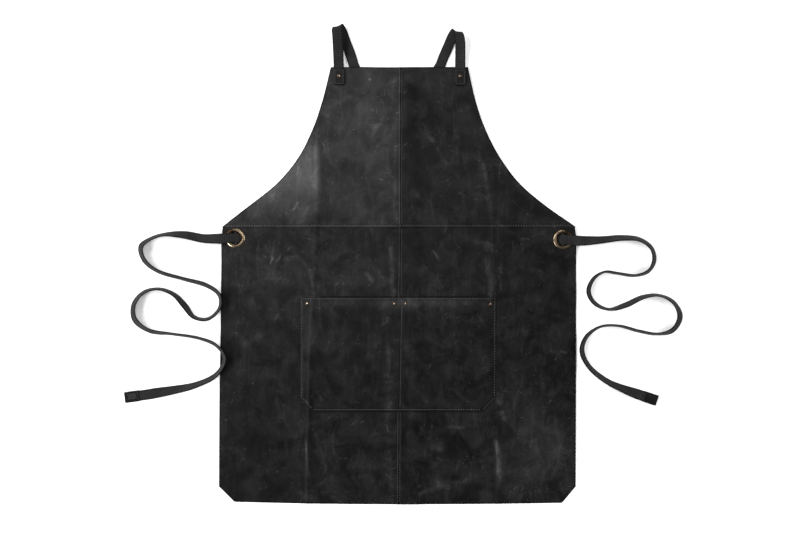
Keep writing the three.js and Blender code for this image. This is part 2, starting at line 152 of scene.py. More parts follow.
def smoothThrough(rows, at):
    # smooth curve through (position, value) rows
    rows = np.asarray(sorted(rows), float)
    slopes = np.gradient(rows[:, 1], rows[:, 0])
    at = np.clip(at, rows[0, 0], rows[-1, 0])
    i = np.clip(np.searchsorted(rows[:, 0], at) - 1, 0, len(rows) - 2)
    span = rows[i + 1, 0] - rows[i, 0]
    t = (at - rows[i, 0]) / span
    start = (2 * t**3 - 3 * t**2 + 1) * rows[i, 1] + (t**3 - 2 * t**2 + t) * span * slopes[i]
    end = (3 * t**2 - 2 * t**3) * rows[i + 1, 1] + (t**3 - t**2) * span * slopes[i + 1]
    return start + end


def distanceToLine(x, y, points):
    points = np.asarray(points, float)[:, :2]
    best = np.full(np.shape(x), np.inf)
    for start, end in zip(points[:-1], points[1:]):
        run = end - start
        t = np.clip(((x - start[0]) * run[0] + (y - start[1]) * run[1]) / (run @ run), 0, 1)
        best = np.minimum(best, np.hypot(x - start[0] - t * run[0], y - start[1] - t * run[1]))
    return best


def runningLength(points):
    # distance along a line of points, from its start to each of them
    steps = np.linalg.norm(np.diff(points, axis=0), axis=1)
    return np.concatenate([[0], np.cumsum(steps)])


def unit(vectors):
    return vectors / np.linalg.norm(vectors, axis=-1, keepdims=True)


def catmullRom(points, t, centripetal):
    # value at each t, which counts rows from the first
    points = np.asarray(points, float)
    padded = np.vstack([2 * points[0] - points[1], points, 2 * points[-1] - points[-2]])
    i = np.clip(t.astype(int), 0, len(points) - 2)
    u = (t - i)[:, None]
    p0, p1, p2, p3 = (padded[i + k] for k in range(4))
    if centripetal:
        spans = (p1 - p0, p2 - p1, p3 - p2)
        d0, d1, d2 = (np.sqrt(np.linalg.norm(span, axis=1))[:, None] for span in spans)
        m1 = ((p1 - p0) / d0 - (p2 - p0) / (d0 + d1) + (p2 - p1) / d1) * d1
        m2 = ((p2 - p1) / d1 - (p3 - p1) / (d1 + d2) + (p3 - p2) / d2) * d1
    else:
        m1 = (p2 - p0) / 2
        m2 = (p3 - p1) / 2
    return p1 + m1 * u + (3 * (p2 - p1) - 2 * m1 - m2) * u**2 + (2 * (p1 - p2) + m1 + m2) * u**3


def ringFaces(rings, sides, closed=False):
    # four-sided faces between rings of points, with the last ring joined to the first where closed
    i, j = np.meshgrid(np.arange(rings if closed else rings - 1), np.arange(sides), indexing="ij")
    n = (i + 1) % rings
    k = (j + 1) % sides
    return np.stack([i * sides + j, i * sides + k, n * sides + k, n * sides + j], -1).reshape(-1, 4)


def endCaps(rings, sides):
    first = list(reversed(range(sides)))
    return [first, [(rings - 1) * sides + s for s in range(sides)]]


# Shader helpers
def fillSockets(tree, node, values):
    # links what comes from another node, and sets a plain value on the socket itself
    for socket, value in values.items():
        if isinstance(value, bpy.types.NodeSocket):
            tree.links.new(value, node.inputs[socket])
        else:
            node.inputs[socket].default_value = value


def addNode(tree, kind, values=None, **settings):
    made = tree.nodes.new(kind)
    for key, value in settings.items():
        setattr(made, key, value)
    fillSockets(tree, made, values or {})
    return made


def mathNode(tree, operation, a, b=0.0, clamp=False):
    return addNode(tree, "ShaderNodeMath", {0: a, 1: b}, operation=operation, use_clamp=clamp).outputs[0]


def times(tree, a, b):
    return mathNode(tree, "MULTIPLY", a, b)


def plus(tree, a, b):
    return mathNode(tree, "ADD", a, b)


def minus(tree, a, b):
    return mathNode(tree, "SUBTRACT", a, b)


def vectorNode(tree, operation, a, b):
    return addNode(tree, "ShaderNodeVectorMath", {0: a, 1: b}, operation=operation).outputs[0]


def attributeNode(tree, label):
    return addNode(tree, "ShaderNodeAttribute", attribute_name=label).outputs["Fac"]


def mixColours(tree, factor, a, b):
    return addNode(tree, "ShaderNodeMix", {0: factor, 6: a, 7: b}, data_type="RGBA").outputs[2]


def rangeNode(tree, value, low, high, toLow=0.0, toHigh=1.0):
    sockets = {0: value, 1: low, 2: high, 3: toLow, 4: toHigh}
    return addNode(tree, "ShaderNodeMapRange", sockets, interpolation_type="SMOOTHSTEP").outputs[0]


def noiseNode(tree, place, scale, detail=3.0, roughness=0.5, distortion=0.0):
    sockets = {"Vector": place, "Scale": scale, "Detail": detail, "Roughness": roughness}
    return addNode(tree, "ShaderNodeTexNoise", {**sockets, "Distortion": distortion}).outputs


def bumpNode(tree, height, distance, strength):
    sockets = {"Height": height, "Distance": distance, "Strength": strength}
    return addNode(tree, "ShaderNodeBump", sockets).outputs["Normal"]


def newGroup(name, inputs, outputs):
    # an input with no value is a vector, and the others are numbers
    tree = bpy.data.node_groups.new(name, "ShaderNodeTree")
    for label, value in inputs.items():
        kind = "NodeSocketVector" if value is None else "NodeSocketFloat"
        socket = tree.interface.new_socket(label, in_out="INPUT", socket_type=kind)
        if value is not None:
            socket.default_value = value
    for label in outputs:
        tree.interface.new_socket(label, in_out="OUTPUT", socket_type="NodeSocketFloat")
    return tree, tree.nodes.new("NodeGroupInput").outputs, tree.nodes.new("NodeGroupOutput")


def useGroup(tree, group, values):
    return addNode(tree, "ShaderNodeGroup", values, node_tree=group).outputs


def newMaterial(name):
    material = bpy.data.materials.new(name)
    material.use_nodes = True
    return material, material.node_tree, material.node_tree.nodes["Principled BSDF"]


def objectPlace(tree):
    return addNode(tree, "ShaderNodeTexCoord").outputs["Object"]


def grey(value, warm=0.0):
    return (value * (1 + warm), value, value * (1 - warm), 1.0)


# Grain: pebbled cells, counted in a metre, and fine pores where a noise is high
grainLook = {
    "cells": 650.0, "poreCells": 2400.0, "pores": (0.52, 0.68), "poreDepth": 0.25,
    "warpCells": 180.0, "warp": 0.0016,
}


def grainGroup():
    tree, given, out = newGroup("leatherGrain", {
        "Vector": None, "Cells": grainLook["cells"], "Pore Cells": grainLook["poreCells"],
    }, ["Height", "Pores"])
    warp = noiseNode(tree, given["Vector"], grainLook["warpCells"], 2.0)["Color"]
    moved = vectorNode(tree, "MULTIPLY", warp, (grainLook["warp"],) * 3)
    at = vectorNode(tree, "ADD", given["Vector"], moved)
    cells = addNode(tree, "ShaderNodeTexVoronoi", {"Vector": at, "Scale": given["Cells"]}).outputs
    pores = rangeNode(tree, noiseNode(tree, at, given["Pore Cells"], 2.0)[0], *grainLook["pores"])
    pebble = minus(tree, 1.0, cells["Distance"])
    height = minus(tree, pebble, times(tree, pores, grainLook["poreDepth"]))
    fillSockets(tree, out, {"Height": height, "Pores": pores})
    return tree


# Scratches: at most one in each cell, turned at random and slightly bowed, fading across and at its ends
strokeLook = {"bow": 26.0, "across": (0.35, 1.0), "along": (0.2, 1.0), "thinnest": 0.4, "shortest": 0.5}


def strokeGroup():
    tree, given, out = newGroup("scratchStrokes", {
        "Vector": None, "Cells Per Metre": 20.0, "Half Length": 0.012, "Half Width": 0.0006, "Share": 0.5,
    }, ["Mask"])
    sockets = {"Vector": given["Vector"], "Scale": given["Cells Per Metre"]}
    cells = addNode(tree, "ShaderNodeTexVoronoi", sockets, voronoi_dimensions="2D").outputs
    away = vectorNode(tree, "SUBTRACT", given["Vector"], cells["Position"])
    chance = addNode(tree, "ShaderNodeSeparateColor", {0: cells["Color"]}).outputs
    turn = addNode(tree, "ShaderNodeCombineXYZ", {"Z": times(tree, chance[0], fullTurn)}).outputs[0]
    sockets = {"Vector": away, "Rotation": turn}
    turned = addNode(tree, "ShaderNodeVectorRotate", sockets, rotation_type="EULER_XYZ").outputs[0]
    local = addNode(tree, "ShaderNodeSeparateXYZ", {0: turned}).outputs
    bow = times(tree, minus(tree, chance[2], 0.5), strokeLook["bow"])
    bowed = times(tree, times(tree, local[0], local[0]), bow)
    off = mathNode(tree, "ABSOLUTE", plus(tree, local[1], bowed))
    width = times(tree, given["Half Width"], plus(tree, chance[2], strokeLook["thinnest"]))
    length = times(tree, given["Half Length"], plus(tree, chance[1], strokeLook["shortest"]))
    across = rangeNode(tree, mathNode(tree, "DIVIDE", off, width), *strokeLook["across"], 1.0, 0.0)
    ends = mathNode(tree, "DIVIDE", mathNode(tree, "ABSOLUTE", local[0]), length)
    along = rangeNode(tree, ends, *strokeLook["along"], 1.0, 0.0)
    chosen = mathNode(tree, "LESS_THAN", chance[1], given["Share"])
    fillSockets(tree, out, {"Mask": times(tree, times(tree, across, along), chosen)})
    return tree


# Waxed pull-up leather: cloudy lightness, wiped streaks, pale flecks, crinkle veins and scratches. Sizes
# are cells in a metre, noises are detail, roughness and distortion, and pairs are the levels of a noise
# between which a mask comes up
waxLook = {
    "cloudSize": 24.0, "cloudNoise": (8.0, 0.64, 0.7), "clouds": (0.28, 0.72),
    "wipeSize": (75, 16, 30), "wipeTurn": (0, 0, 0.1), "wipeNoise": (6.0, 0.6, 1.2), "wipes": (0.45, 0.78),
    "fleckSize": 130.0, "fleckNoise": (5.0, 0.7, 0.8), "flecks": (0.52, 0.74),
    "fleckGateSize": 19.0, "fleckGate": (0.42, 0.66),
    "veinSize": 38.0, "veinWidth": 0.07, "veinBendSize": 16.0, "veinBend": (0.06, 0.06, 0.0),
    "veinGateSize": 31.0, "veinGate": (0.5, 0.7),
    "scratchCover": 0.5, "breakSize": 260.0, "breaks": (0.35, 0.65, 0.15, 1.0),
    "scratchLayers": [  # cells per metre, half length, half width, share of cells, weight
        (7.0, 0.045, 0.0007, 0.9, 0.5), (14.0, 0.024, 0.0006, 0.9, 0.9),
        (30.0, 0.012, 0.0005, 0.8, 1.0), (62.0, 0.006, 0.0004, 0.7, 1.0),
    ],
}


def waxGroup(strokes):
    tree, given, out = newGroup("waxPullUp", {
        "Vector": None, "Cloud Size": waxLook["cloudSize"], "Vein Size": waxLook["veinSize"],
        "Scratch Cover": waxLook["scratchCover"],
    }, ["Clouds", "Wipes", "Flecks", "Veins", "Scratches"])
    place = given["Vector"]
    clouds = noiseNode(tree, place, given["Cloud Size"], *waxLook["cloudNoise"])[0]
    sockets = {"Vector": place, "Rotation": waxLook["wipeTurn"], "Scale": waxLook["wipeSize"]}
    streaked = addNode(tree, "ShaderNodeMapping", sockets).outputs[0]
    wipes = noiseNode(tree, streaked, 1.0, *waxLook["wipeNoise"])[0]
    flecks = noiseNode(tree, place, waxLook["fleckSize"], *waxLook["fleckNoise"])[0]
    flecks = rangeNode(tree, flecks, *waxLook["flecks"])
    fleckGate = rangeNode(tree, noiseNode(tree, place, waxLook["fleckGateSize"])[0], *waxLook["fleckGate"])

    bend = noiseNode(tree, place, waxLook["veinBendSize"])["Color"]
    veinAt = vectorNode(tree, "ADD", place, vectorNode(tree, "MULTIPLY", bend, waxLook["veinBend"]))
    sockets = {"Vector": veinAt, "Scale": given["Vein Size"]}
    cracks = addNode(tree, "ShaderNodeTexVoronoi", sockets, feature="DISTANCE_TO_EDGE").outputs["Distance"]
    veins = rangeNode(tree, cracks, 0.0, waxLook["veinWidth"], 1.0, 0.0)
    veinGate = noiseNode(tree, place, waxLook["veinGateSize"], 4.0)[0]
    veinGate = rangeNode(tree, veinGate, *waxLook["veinGate"])

    scratches = None
    for cells, length, width, share, weight in waxLook["scratchLayers"]:
        layer = useGroup(tree, strokes, {
            "Vector": place, "Cells Per Metre": cells, "Half Length": length, "Half Width": width,
            "Share": times(tree, given["Scratch Cover"], share),
        })["Mask"]
        layer = times(tree, layer, weight)
        scratches = layer if scratches is None else mathNode(tree, "MAXIMUM", scratches, layer)
    broken = rangeNode(tree, noiseNode(tree, place, waxLook["breakSize"])[0], *waxLook["breaks"])
    fillSockets(tree, out, {
        "Clouds": rangeNode(tree, clouds, *waxLook["clouds"]),
        "Wipes": rangeNode(tree, wipes, *waxLook["wipes"]),
        "Flecks": times(tree, flecks, fleckGate),
        "Veins": times(tree, veins, veinGate),
        "Scratches": times(tree, scratches, broken),
    })
    return tree


# Webbing: fine ribs across the strap, every third one brighter, and lengthwise yarns, bordered by dark
# selvedges, in metres along and across
weaveLook = {
    "ribs": 625.0, "yarns": 900.0, "halfWidth": 0.01, "ribHeight": 0.45, "yarnHeight": 0.25,
    "fuzzSize": 1500.0, "fuzzHeight": 0.3, "base": 0.35, "selvedge": (0.74, 0.92, 1.0, 0.12),
    "brightEvery": 3, "bright": (-0.5, 0.5, 0.72, 1.05),
}


def weaveGroup():
    tree, given, out = newGroup("webbingWeave", {
        "Along Across": None, "Ribs Per Metre": weaveLook["ribs"], "Yarns Per Metre": weaveLook["yarns"],
        "Half Width": weaveLook["halfWidth"],
    }, ["Height", "Shade"])
    split = addNode(tree, "ShaderNodeSeparateXYZ", {0: given["Along Across"]}).outputs
    ribCount = times(tree, split[0], given["Ribs Per Metre"])
    yarnCount = times(tree, split[1], given["Yarns Per Metre"])

    def wave(count, turn, *levels):
        return rangeNode(tree, mathNode(tree, "COSINE", times(tree, count, turn)), *levels)

    ribs = times(tree, wave(ribCount, fullTurn, -1.0, 1.0), weaveLook["ribHeight"])
    yarns = times(tree, wave(yarnCount, fullTurn, -1.0, 1.0), weaveLook["yarnHeight"])
    fuzz = noiseNode(tree, given["Along Across"], weaveLook["fuzzSize"])[0]
    woven = plus(tree, ribs, yarns)
    side = mathNode(tree, "DIVIDE", mathNode(tree, "ABSOLUTE", split[1]), given["Half Width"])
    selvedge = rangeNode(tree, side, *weaveLook["selvedge"])
    brighter = wave(ribCount, fullTurn / weaveLook["brightEvery"], *weaveLook["bright"])
    shade = times(tree, plus(tree, woven, weaveLook["base"]), fuzz)
    fillSockets(tree, out, {
        "Height": plus(tree, woven, times(tree, fuzz, weaveLook["fuzzHeight"])),
        "Shade": times(tree, times(tree, shade, brighter), selvedge),
    })
    return tree


# Aged plated metal: dark patches and fine rub marks
patinaLook = {"patchSize": 160.0, "patches": (0.42, 0.68), "rubSize": 1900.0}


def patinaGroup():
    inputs = {"Vector": None, "Patch Size": patinaLook["patchSize"]}
    tree, given, out = newGroup("metalPatina", inputs, ["Patina", "Rubs"])
    patches = noiseNode(tree, given["Vector"], given["Patch Size"], 5.0)[0]
    rubs = noiseNode(tree, given["Vector"], patinaLook["rubSize"], 2.0)[0]
    fillSockets(tree, out, {"Patina": rangeNode(tree, patches, *patinaLook["patches"]), "Rubs": rubs})
    return tree


grain = grainGroup()
wax = waxGroup(strokeGroup())
weave = weaveGroup()
patina = patinaGroup()


# Leather: lightness as it looks to the eye, from 0 to 1, turned to a colour by a power curve
leatherLook = {
    "masks": {  # the level of each mask that changes nothing, and its change in lightness
        "Clouds": (0.5, 0.095), "Wipes": (0.2, 0.06), "Flecks": (0.1, 0.10), "Veins": (0.0, 0.06),
        "Scratches": (0.0, 0.26), "Pores": (0.3, -0.015), "Rim": (0.0, -0.17),
    },
    "patchy": (0.35, 1.65),  # how strongly the painted marks show, from the darkest cloud to the palest
    "darkest": 0.03, "gamma": 2.2, "gain": 0.43, "blue": 0.99,
    "roughness": 0.4, "cloudRoughness": 0.16, "scratchRoughness": 0.15, "specular": 0.12,
    "veinDepth": 0.5, "scratchDepth": 0.8, "grainDepth": 0.2 * mm, "grainStrength": 0.5,
}
trimMasks = {**leatherLook["masks"], "Clouds": (0.5, 0.03), "Wipes": (0.2, 0.02), "Veins": (0.0, 0.0)}


def leatherMaterial(name, look):
    material, tree, shader = newMaterial(name)
    place = objectPlace(tree)
    waxed = useGroup(tree, wax, {"Vector": place, "Scratch Cover": attributeNode(tree, "scuff")})
    grained = useGroup(tree, grain, {"Vector": place})
    masks = {**dict(waxed.items()), **dict(grained.items()), "Rim": attributeNode(tree, "rim")}
    patchy = rangeNode(tree, waxed["Clouds"], 0.0, 1.0, *look["patchy"])
    marks = times(tree, attributeNode(tree, "marks"), patchy)
    lightness = plus(tree, attributeNode(tree, "tone"), marks)
    for label, (middle, amount) in look["masks"].items():
        lightness = plus(tree, lightness, times(tree, minus(tree, masks[label], middle), amount))
    level = mathNode(tree, "POWER", mathNode(tree, "MAXIMUM", lightness, look["darkest"]), look["gamma"])
    level = times(tree, level, look["gain"])
    sockets = {"Red": level, "Green": level, "Blue": times(tree, level, look["blue"])}
    rough = plus(tree, look["roughness"], times(tree, waxed["Clouds"], look["cloudRoughness"]))
    relief = minus(tree, grained["Height"], times(tree, waxed["Veins"], look["veinDepth"]))
    relief = minus(tree, relief, times(tree, waxed["Scratches"], look["scratchDepth"]))
    fillSockets(tree, shader, {
        "Base Color": addNode(tree, "ShaderNodeCombineColor", sockets).outputs[0],
        "Roughness": plus(tree, rough, times(tree, waxed["Scratches"], look["scratchRoughness"])),
        "Specular IOR Level": look["specular"],
        "Normal": bumpNode(tree, relief, look["grainDepth"], look["grainStrength"]),
    })
    return material


# Flesh side of the leather
fleshLook = {
    "dark": grey(0.016, 0.08), "light": grey(0.05, 0.08), "shades": (0.12, 0.42),
    "napSize": 900.0, "napDepth": 0.3 * mm, "napStrength": 0.6, "patchSize": 14.0,
    "roughness": 0.95, "specular": 0.15, "sheen": 0.2,
}


def fleshMaterial():
    material, tree, shader = newMaterial("leatherFleshSide")
    place = objectPlace(tree)
    nap = noiseNode(tree, place, fleshLook["napSize"], 5.0, 0.7)[0]
    shade = times(tree, nap, noiseNode(tree, place, fleshLook["patchSize"], 5.0)[0])
    shade = rangeNode(tree, shade, *fleshLook["shades"])
    fillSockets(tree, shader, {
        "Base Color": mixColours(tree, shade, fleshLook["dark"], fleshLook["light"]),
        "Roughness": fleshLook["roughness"],
        "Specular IOR Level": fleshLook["specular"],
        "Sheen Weight": fleshLook["sheen"],
        "Normal": bumpNode(tree, nap, fleshLook["napDepth"], fleshLook["napStrength"]),
    })
    return material


# Inked and burnished cut edge
edgeLook = {
    "dark": grey(0.002), "light": grey(0.008, 0.05), "fibreSize": 1400.0, "fibreDepth": 0.15 * mm,
    "fibreStrength": 0.5, "roughness": 0.45, "fibreRoughness": 0.3, "specular": 0.2,
}


def cutEdgeMaterial():
    material, tree, shader = newMaterial("leatherCutEdge")
    fibres = noiseNode(tree, objectPlace(tree), edgeLook["fibreSize"], 4.0)[0]
    fillSockets(tree, shader, {
        "Base Color": mixColours(tree, fibres, edgeLook["dark"], edgeLook["light"]),
        "Roughness": plus(tree, times(tree, fibres, edgeLook["fibreRoughness"]), edgeLook["roughness"]),
        "Specular IOR Level": edgeLook["specular"],
        "Normal": bumpNode(tree, fibres, edgeLook["fibreDepth"], edgeLook["fibreStrength"]),
    })
    return material


# Cotton webbing, worn in patches
webbingLook = {
    "dark": grey(0.0015), "light": grey(0.0265), "shades": (0.05, 0.65), "wearSize": 35.0,
    "wear": (0.2, 0.8, 0.7, 1.3), "weaveDepth": 0.25 * mm, "weaveStrength": 0.6,
    "roughness": 0.85, "specular": 0.12, "sheen": 0.05,
}


def webbingMaterial():
    material, tree, shader = newMaterial("cottonWebbing")
    along = addNode(tree, "ShaderNodeUVMap", uv_map="weave").outputs[0]
    woven = useGroup(tree, weave, {"Along Across": along})
    wear = noiseNode(tree, objectPlace(tree), webbingLook["wearSize"], 4.0)[0]
    shade = times(tree, woven["Shade"], rangeNode(tree, wear, *webbingLook["wear"]))
    shade = rangeNode(tree, shade, *webbingLook["shades"])
    fillSockets(tree, shader, {
        "Base Color": mixColours(tree, shade, webbingLook["dark"], webbingLook["light"]),
        "Roughness": webbingLook["roughness"],
        "Specular IOR Level": webbingLook["specular"],
        "Sheen Weight": webbingLook["sheen"],
        "Normal": bumpNode(tree, woven["Height"], webbingLook["weaveDepth"], webbingLook["weaveStrength"]),
    })
    return material


# Waxed thread, rubbed pale on the crest of each stitch and dark where it dips, the dark ends being painted
# shade
threadLook = {
    "dark": grey(0.004), "light": grey(0.23), "dirtSize": 60.0, "dirt": (0.3, 0.7, 0.5, 1.3),
    "twistSize": 2500.0, "twistDepth": 0.1 * mm, "twistStrength": 0.5, "roughness": 0.6,
}


def threadMaterial():
    material, tree, shader = newMaterial("waxedThread")
    place = objectPlace(tree)
    twist = noiseNode(tree, place, threadLook["twistSize"], 2.0)[0]
    dirt = rangeNode(tree, noiseNode(tree, place, threadLook["dirtSize"])[0], *threadLook["dirt"])
    level = mathNode(tree, "MULTIPLY", times(tree, twist, dirt), attributeNode(tree, "crest"), True)
    fillSockets(tree, shader, {
        "Base Color": mixColours(tree, level, threadLook["dark"], threadLook["light"]),
        "Roughness": threadLook["roughness"],
        "Normal": bumpNode(tree, twist, threadLook["twistDepth"], threadLook["twistStrength"]),
    })
    return material


# Metals: the same patina over brass and copper
metalLook = {
    "patina": 0.6, "wornRoughness": 0.2, "rubRoughness": 0.08, "rubDepth": 0.015 * mm, "rubStrength": 0.15,
}
brassLook = {"bright": (0.40, 0.315, 0.215, 1), "dark": (0.035, 0.02, 0.011, 1), "roughness": 0.16}
copperLook = {"bright": (0.72, 0.58, 0.46, 1), "dark": (0.05, 0.03, 0.02, 1), "roughness": 0.12}


def metalMaterial(name, look):
    material, tree, shader = newMaterial(name)
    aged = useGroup(tree, patina, {"Vector": objectPlace(tree)})
    patched = times(tree, aged["Patina"], metalLook["patina"])
    # tarnish of the turned pieces, and on the eyelets painted shade on the side the strap shades
    wearAndPaintedLight = mathNode(tree, "MAXIMUM", patched, attributeNode(tree, "age"))
    rough = plus(tree, look["roughness"], times(tree, wearAndPaintedLight, metalLook["wornRoughness"]))
    fillSockets(tree, shader, {
        "Base Color": mixColours(tree, wearAndPaintedLight, look["bright"], look["dark"]),
        "Metallic": 1.0,
        "Roughness": plus(tree, rough, times(tree, aged["Rubs"], metalLook["rubRoughness"])),
        "Normal": bumpNode(tree, aged["Rubs"], metalLook["rubDepth"], metalLook["rubStrength"]),
    })
    return material


# Floor: a white sweep whose faint glow lifts the shadows on it. Its size is in metres, its drop in
# millimetres
sweep = {"white": 0.96, "glow": 0.12, "roughness": 0.9, "specular": 0.1, "size": 30.0, "drop": 0.4}


def makeFloor():
    material, tree, shader = newMaterial("whiteSweep")
    fillSockets(tree, shader, {
        "Base Color": grey(sweep["white"]),
        "Emission Color": grey(1.0),
        "Emission Strength": sweep["glow"],
        "Roughness": sweep["roughness"],
        "Specular IOR Level": sweep["specular"],
    })
    material.cycles.emission_sampling = "NONE"
    half = sweep["size"] / 2 / mm
    plan = ((-half, -half), (half, -half), (half, half), (-half, half))
    corners = [(x, y, -sweep["drop"]) for x, y in plan]
    newMesh("floor", corners, [(0, 1, 2, 3)], [material])


leatherFace = leatherMaterial("waxedLeather", leatherLook)
leatherTrim = leatherMaterial("trimLeather", {**leatherLook, "masks": trimMasks})
fleshSide = fleshMaterial()
cutEdge = cutEdgeMaterial()
webbing = webbingMaterial()
thread = threadMaterial()
brass = metalMaterial("antiqueBrass", brassLook)
copper = metalMaterial("rivetCopper", copperLook)
makeFloor()
print("materials and floor ready")


# Straps: rows along each route, the held stretch from the tab to the eyelet first, then the loose tie
strap = {
    "width": 20.0, "thickness": 2.0, "clearance": 0.3, "rib": 1.6, "ribDepth": 0.1, "pairing": 0.3,
    "edgeSwell": 0.6, "edgeFrom": 9, "stepsPerRib": 4, "ribsPerPathPoint": 4, "samplesPerRow": 60,
    "lean": 4.0, "leanBelow": 75,  # degrees added to a tie's lean where it is less than the limit
}
strapLow = strap["clearance"] + strap["thickness"] / 2
tabStrap = 5.9  # height of the strap's middle under a tab
eyeletStrap = 10.5  # and where it leaves over an eyelet's rim
webbingTop = [  # across the top, as shares of the half width and of the half thickness
    (-0.965, 0.86), (-0.86, 1.0), (-0.43, 0.95), (0.0, 0.93), (0.43, 0.95), (0.86, 1.0), (0.965, 0.86),
]

leftHeld = [  # x, y, z and the heading of the width in degrees
    (-114.3, 394.5, tabStrap, 180), (-114.5, 412, tabStrap, 180), (-115, 430, tabStrap + 0.6, 181),
    (-115.9, 459, 12, 183), (-117, 482, 16.5, 189), (-118, 497, 15.5, 195), (-115.9, 503.6, 9.2, 197),
    (-110, 497, 3, 202), (-101.6, 475, 1.6, 204), (-91.2, 447.5, strapLow, 199), (-84.3, 426, strapLow, 198),
    (-72, 404, strapLow, 210), (-26, 361, strapLow, 226),
    (64, 285, strapLow, 230), (200, 174, strapLow, 232), (269, 117, strapLow, 240),
    (296, 95, strapLow + 0.1, 258), (311, 90.4, strapLow + 0.4, 269), (321, 90, 5.8, 270),
    (332, 89.5, eyeletStrap, 270),
]
rightHeld = [
    (121.3, 394.5, tabStrap, 0), (121.3, 412, tabStrap, 0), (121.3, 430, tabStrap + 0.6, 0),
    (121.2, 455, 11, -1), (120.6, 473, 15, -4), (117.4, 487.4, 14.3, -12), (113, 493.6, 8.6, -17),
    (106.8, 486, 3, -24), (98.4, 467, 1.6, -26), (89.6, 447, strapLow, -23), (81, 426, strapLow, -24),
    (68, 408, strapLow, -36), (40, 387, 1.9, -48), (-8, 346, 3.95, -50),
    (-58, 304, 1.9, -50), (-131, 244, strapLow, -50), (-240, 153, strapLow, -52), (-269, 117, strapLow, -66),
    (-292, 97, strapLow + 0.1, -80), (-306, 93.3, strapLow + 0.4, -89), (-316, 93, 5.8, -90),
    (-327, 92.7, eyeletStrap, -90),
]
leftTie = [  # x, y, lean of the width from upright in degrees, lift off the floor
    (350.5, 87.5, -80, 7), (393.5, 89, -42, 0.8), (436, 93, -29, 0), (469, 90, -23, 0), (492, 74, -25, 0),
    (498, 51, -29, 0), (487, 29, -21, 0), (461, 20, -9, 0), (428, 24, -7, 0), (401, 27, -8, 0),
    (379.5, 13, -21, 0), (370.5, -11, -29, 0), (382, -33.5, -21, 0), (411, -45.5, -7, 0),
    (442, -37.5, -19, 0), (477, -21.5, -13, 0), (507.5, -18.5, -9, 0), (535.5, -32.5, -23, 0),
    (548, -59.5, -38, 0), (534.5, -85.5, -32, 0), (503.5, -93.5, -11, 0), (467, -87.5, -10, 0),
    (428, -77.5, -8, 0), (393, -79.5, -12, 0), (366.5, -98.5, -25, 0), (357.5, -125.5, -31, 0),
    (371.5, -157, -25, 0), (407, -186, -28, 0), (434.5, -199, -40, 0), (455.5, -207, -62, 0.2),
    (469.5, -212, -86, 1), (478.5, -215, -90, 1.3), (502.5, -223, -90, 1.3),
]
rightTie = [
    (-345.5, 91.5, 80, 7), (-377.5, 92, 56, 1.8), (-414.5, 99, 42, 0), (-453, 99.5, 17, 0),
    (-479.5, 91.5, 19, 0), (-499, 76, 34, 0), (-494, 52, 29, 0), (-469, 30, 19, 0), (-418, 14, 16, 0),
    (-369.5, 0, 22, 0), (-346.5, -18.5, 22, 0), (-346.5, -43.5, 19, 0), (-369, -64.5, 11, 0),
    (-396, -60.5, 8, 0), (-414, -38.5, 20, 0), (-435, -16.5, 10, 0), (-465, -6, 7, 0), (-495.5, -14, 19, 0),
    (-513.5, -38.5, 31, 0), (-511, -65.5, 36, 0), (-484, -86.5, 24, 0), (-437, -93.5, 12, 0),
    (-387, -101.5, 15, 0), (-352, -116, 20, 1.6), (-336, -141, 22, 2.9), (-352, -172, 22, 1.6),
    (-392, -192.5, 27, 0), (-440.5, -203.5, 48, 0), (-469, -208.5, 72, 0.5), (-485.5, -211.5, 88, 1.1),
    (-502.5, -214, 90, 1.3), (-529.5, -217.5, 90, 1.3),
]


def strapRows(held, tie):
    # the rows' places, and the direction of the webbing's width at each
    points = [row[:3] for row in held]
    across = [(np.cos(np.radians(row[3])), np.sin(np.radians(row[3])), 0) for row in held]
    for i, (x, y, lean, lift) in enumerate(tie):
        before = tie[max(i - 1, 0)]
        after = tie[min(i + 1, len(tie) - 1)]
        run = unit(np.subtract(after[:2], before[:2]))
        if abs(lean) < strap["leanBelow"]:
            lean = lean + np.sign(lean) * strap["lean"]
        sine = np.sin(np.radians(lean))
        cosine = np.cos(np.radians(lean))
        halfHeight = (strap["width"] * cosine + strap["thickness"] * abs(sine)) / 2
        points.append((x, y, halfHeight + strap["clearance"] + lift))
        across.append((-run[1] * sine, run[0] * sine, cosine))
    return np.array(points, float), np.array(across, float)


def strapCurve(held, tie, step):
    # evenly spaced places along a strap, with its width and face directions
    points, across = strapRows(held, tie)
    last = len(points) - 1
    t = np.linspace(0, last, strap["samplesPerRow"] * last + 1)
    length = runningLength(catmullRom(points, t, True))
    at = np.linspace(0, length[-1], int(length[-1] / step) + 1)
    t = np.interp(at, length, t)
    centre = catmullRom(points, t, True)
    tangent = unit(np.gradient(centre, axis=0))
    side = catmullRom(across, t, False)
    side = unit(side - np.sum(side * tangent, axis=1, keepdims=True) * tangent)
    return at, centre, side, np.cross(tangent, side)


def strapSection():
    # outline of the webbing: a flat weave with soft selvedges
    half = strap["width"] / 2
    top = [(share * half, rise * strap["thickness"] / 2) for share, rise in webbingTop]
    lower = [(x, -z) for x, z in reversed(top)]
    return np.array(top + [(half, 0.0)] + lower + [(-half, 0.0)])


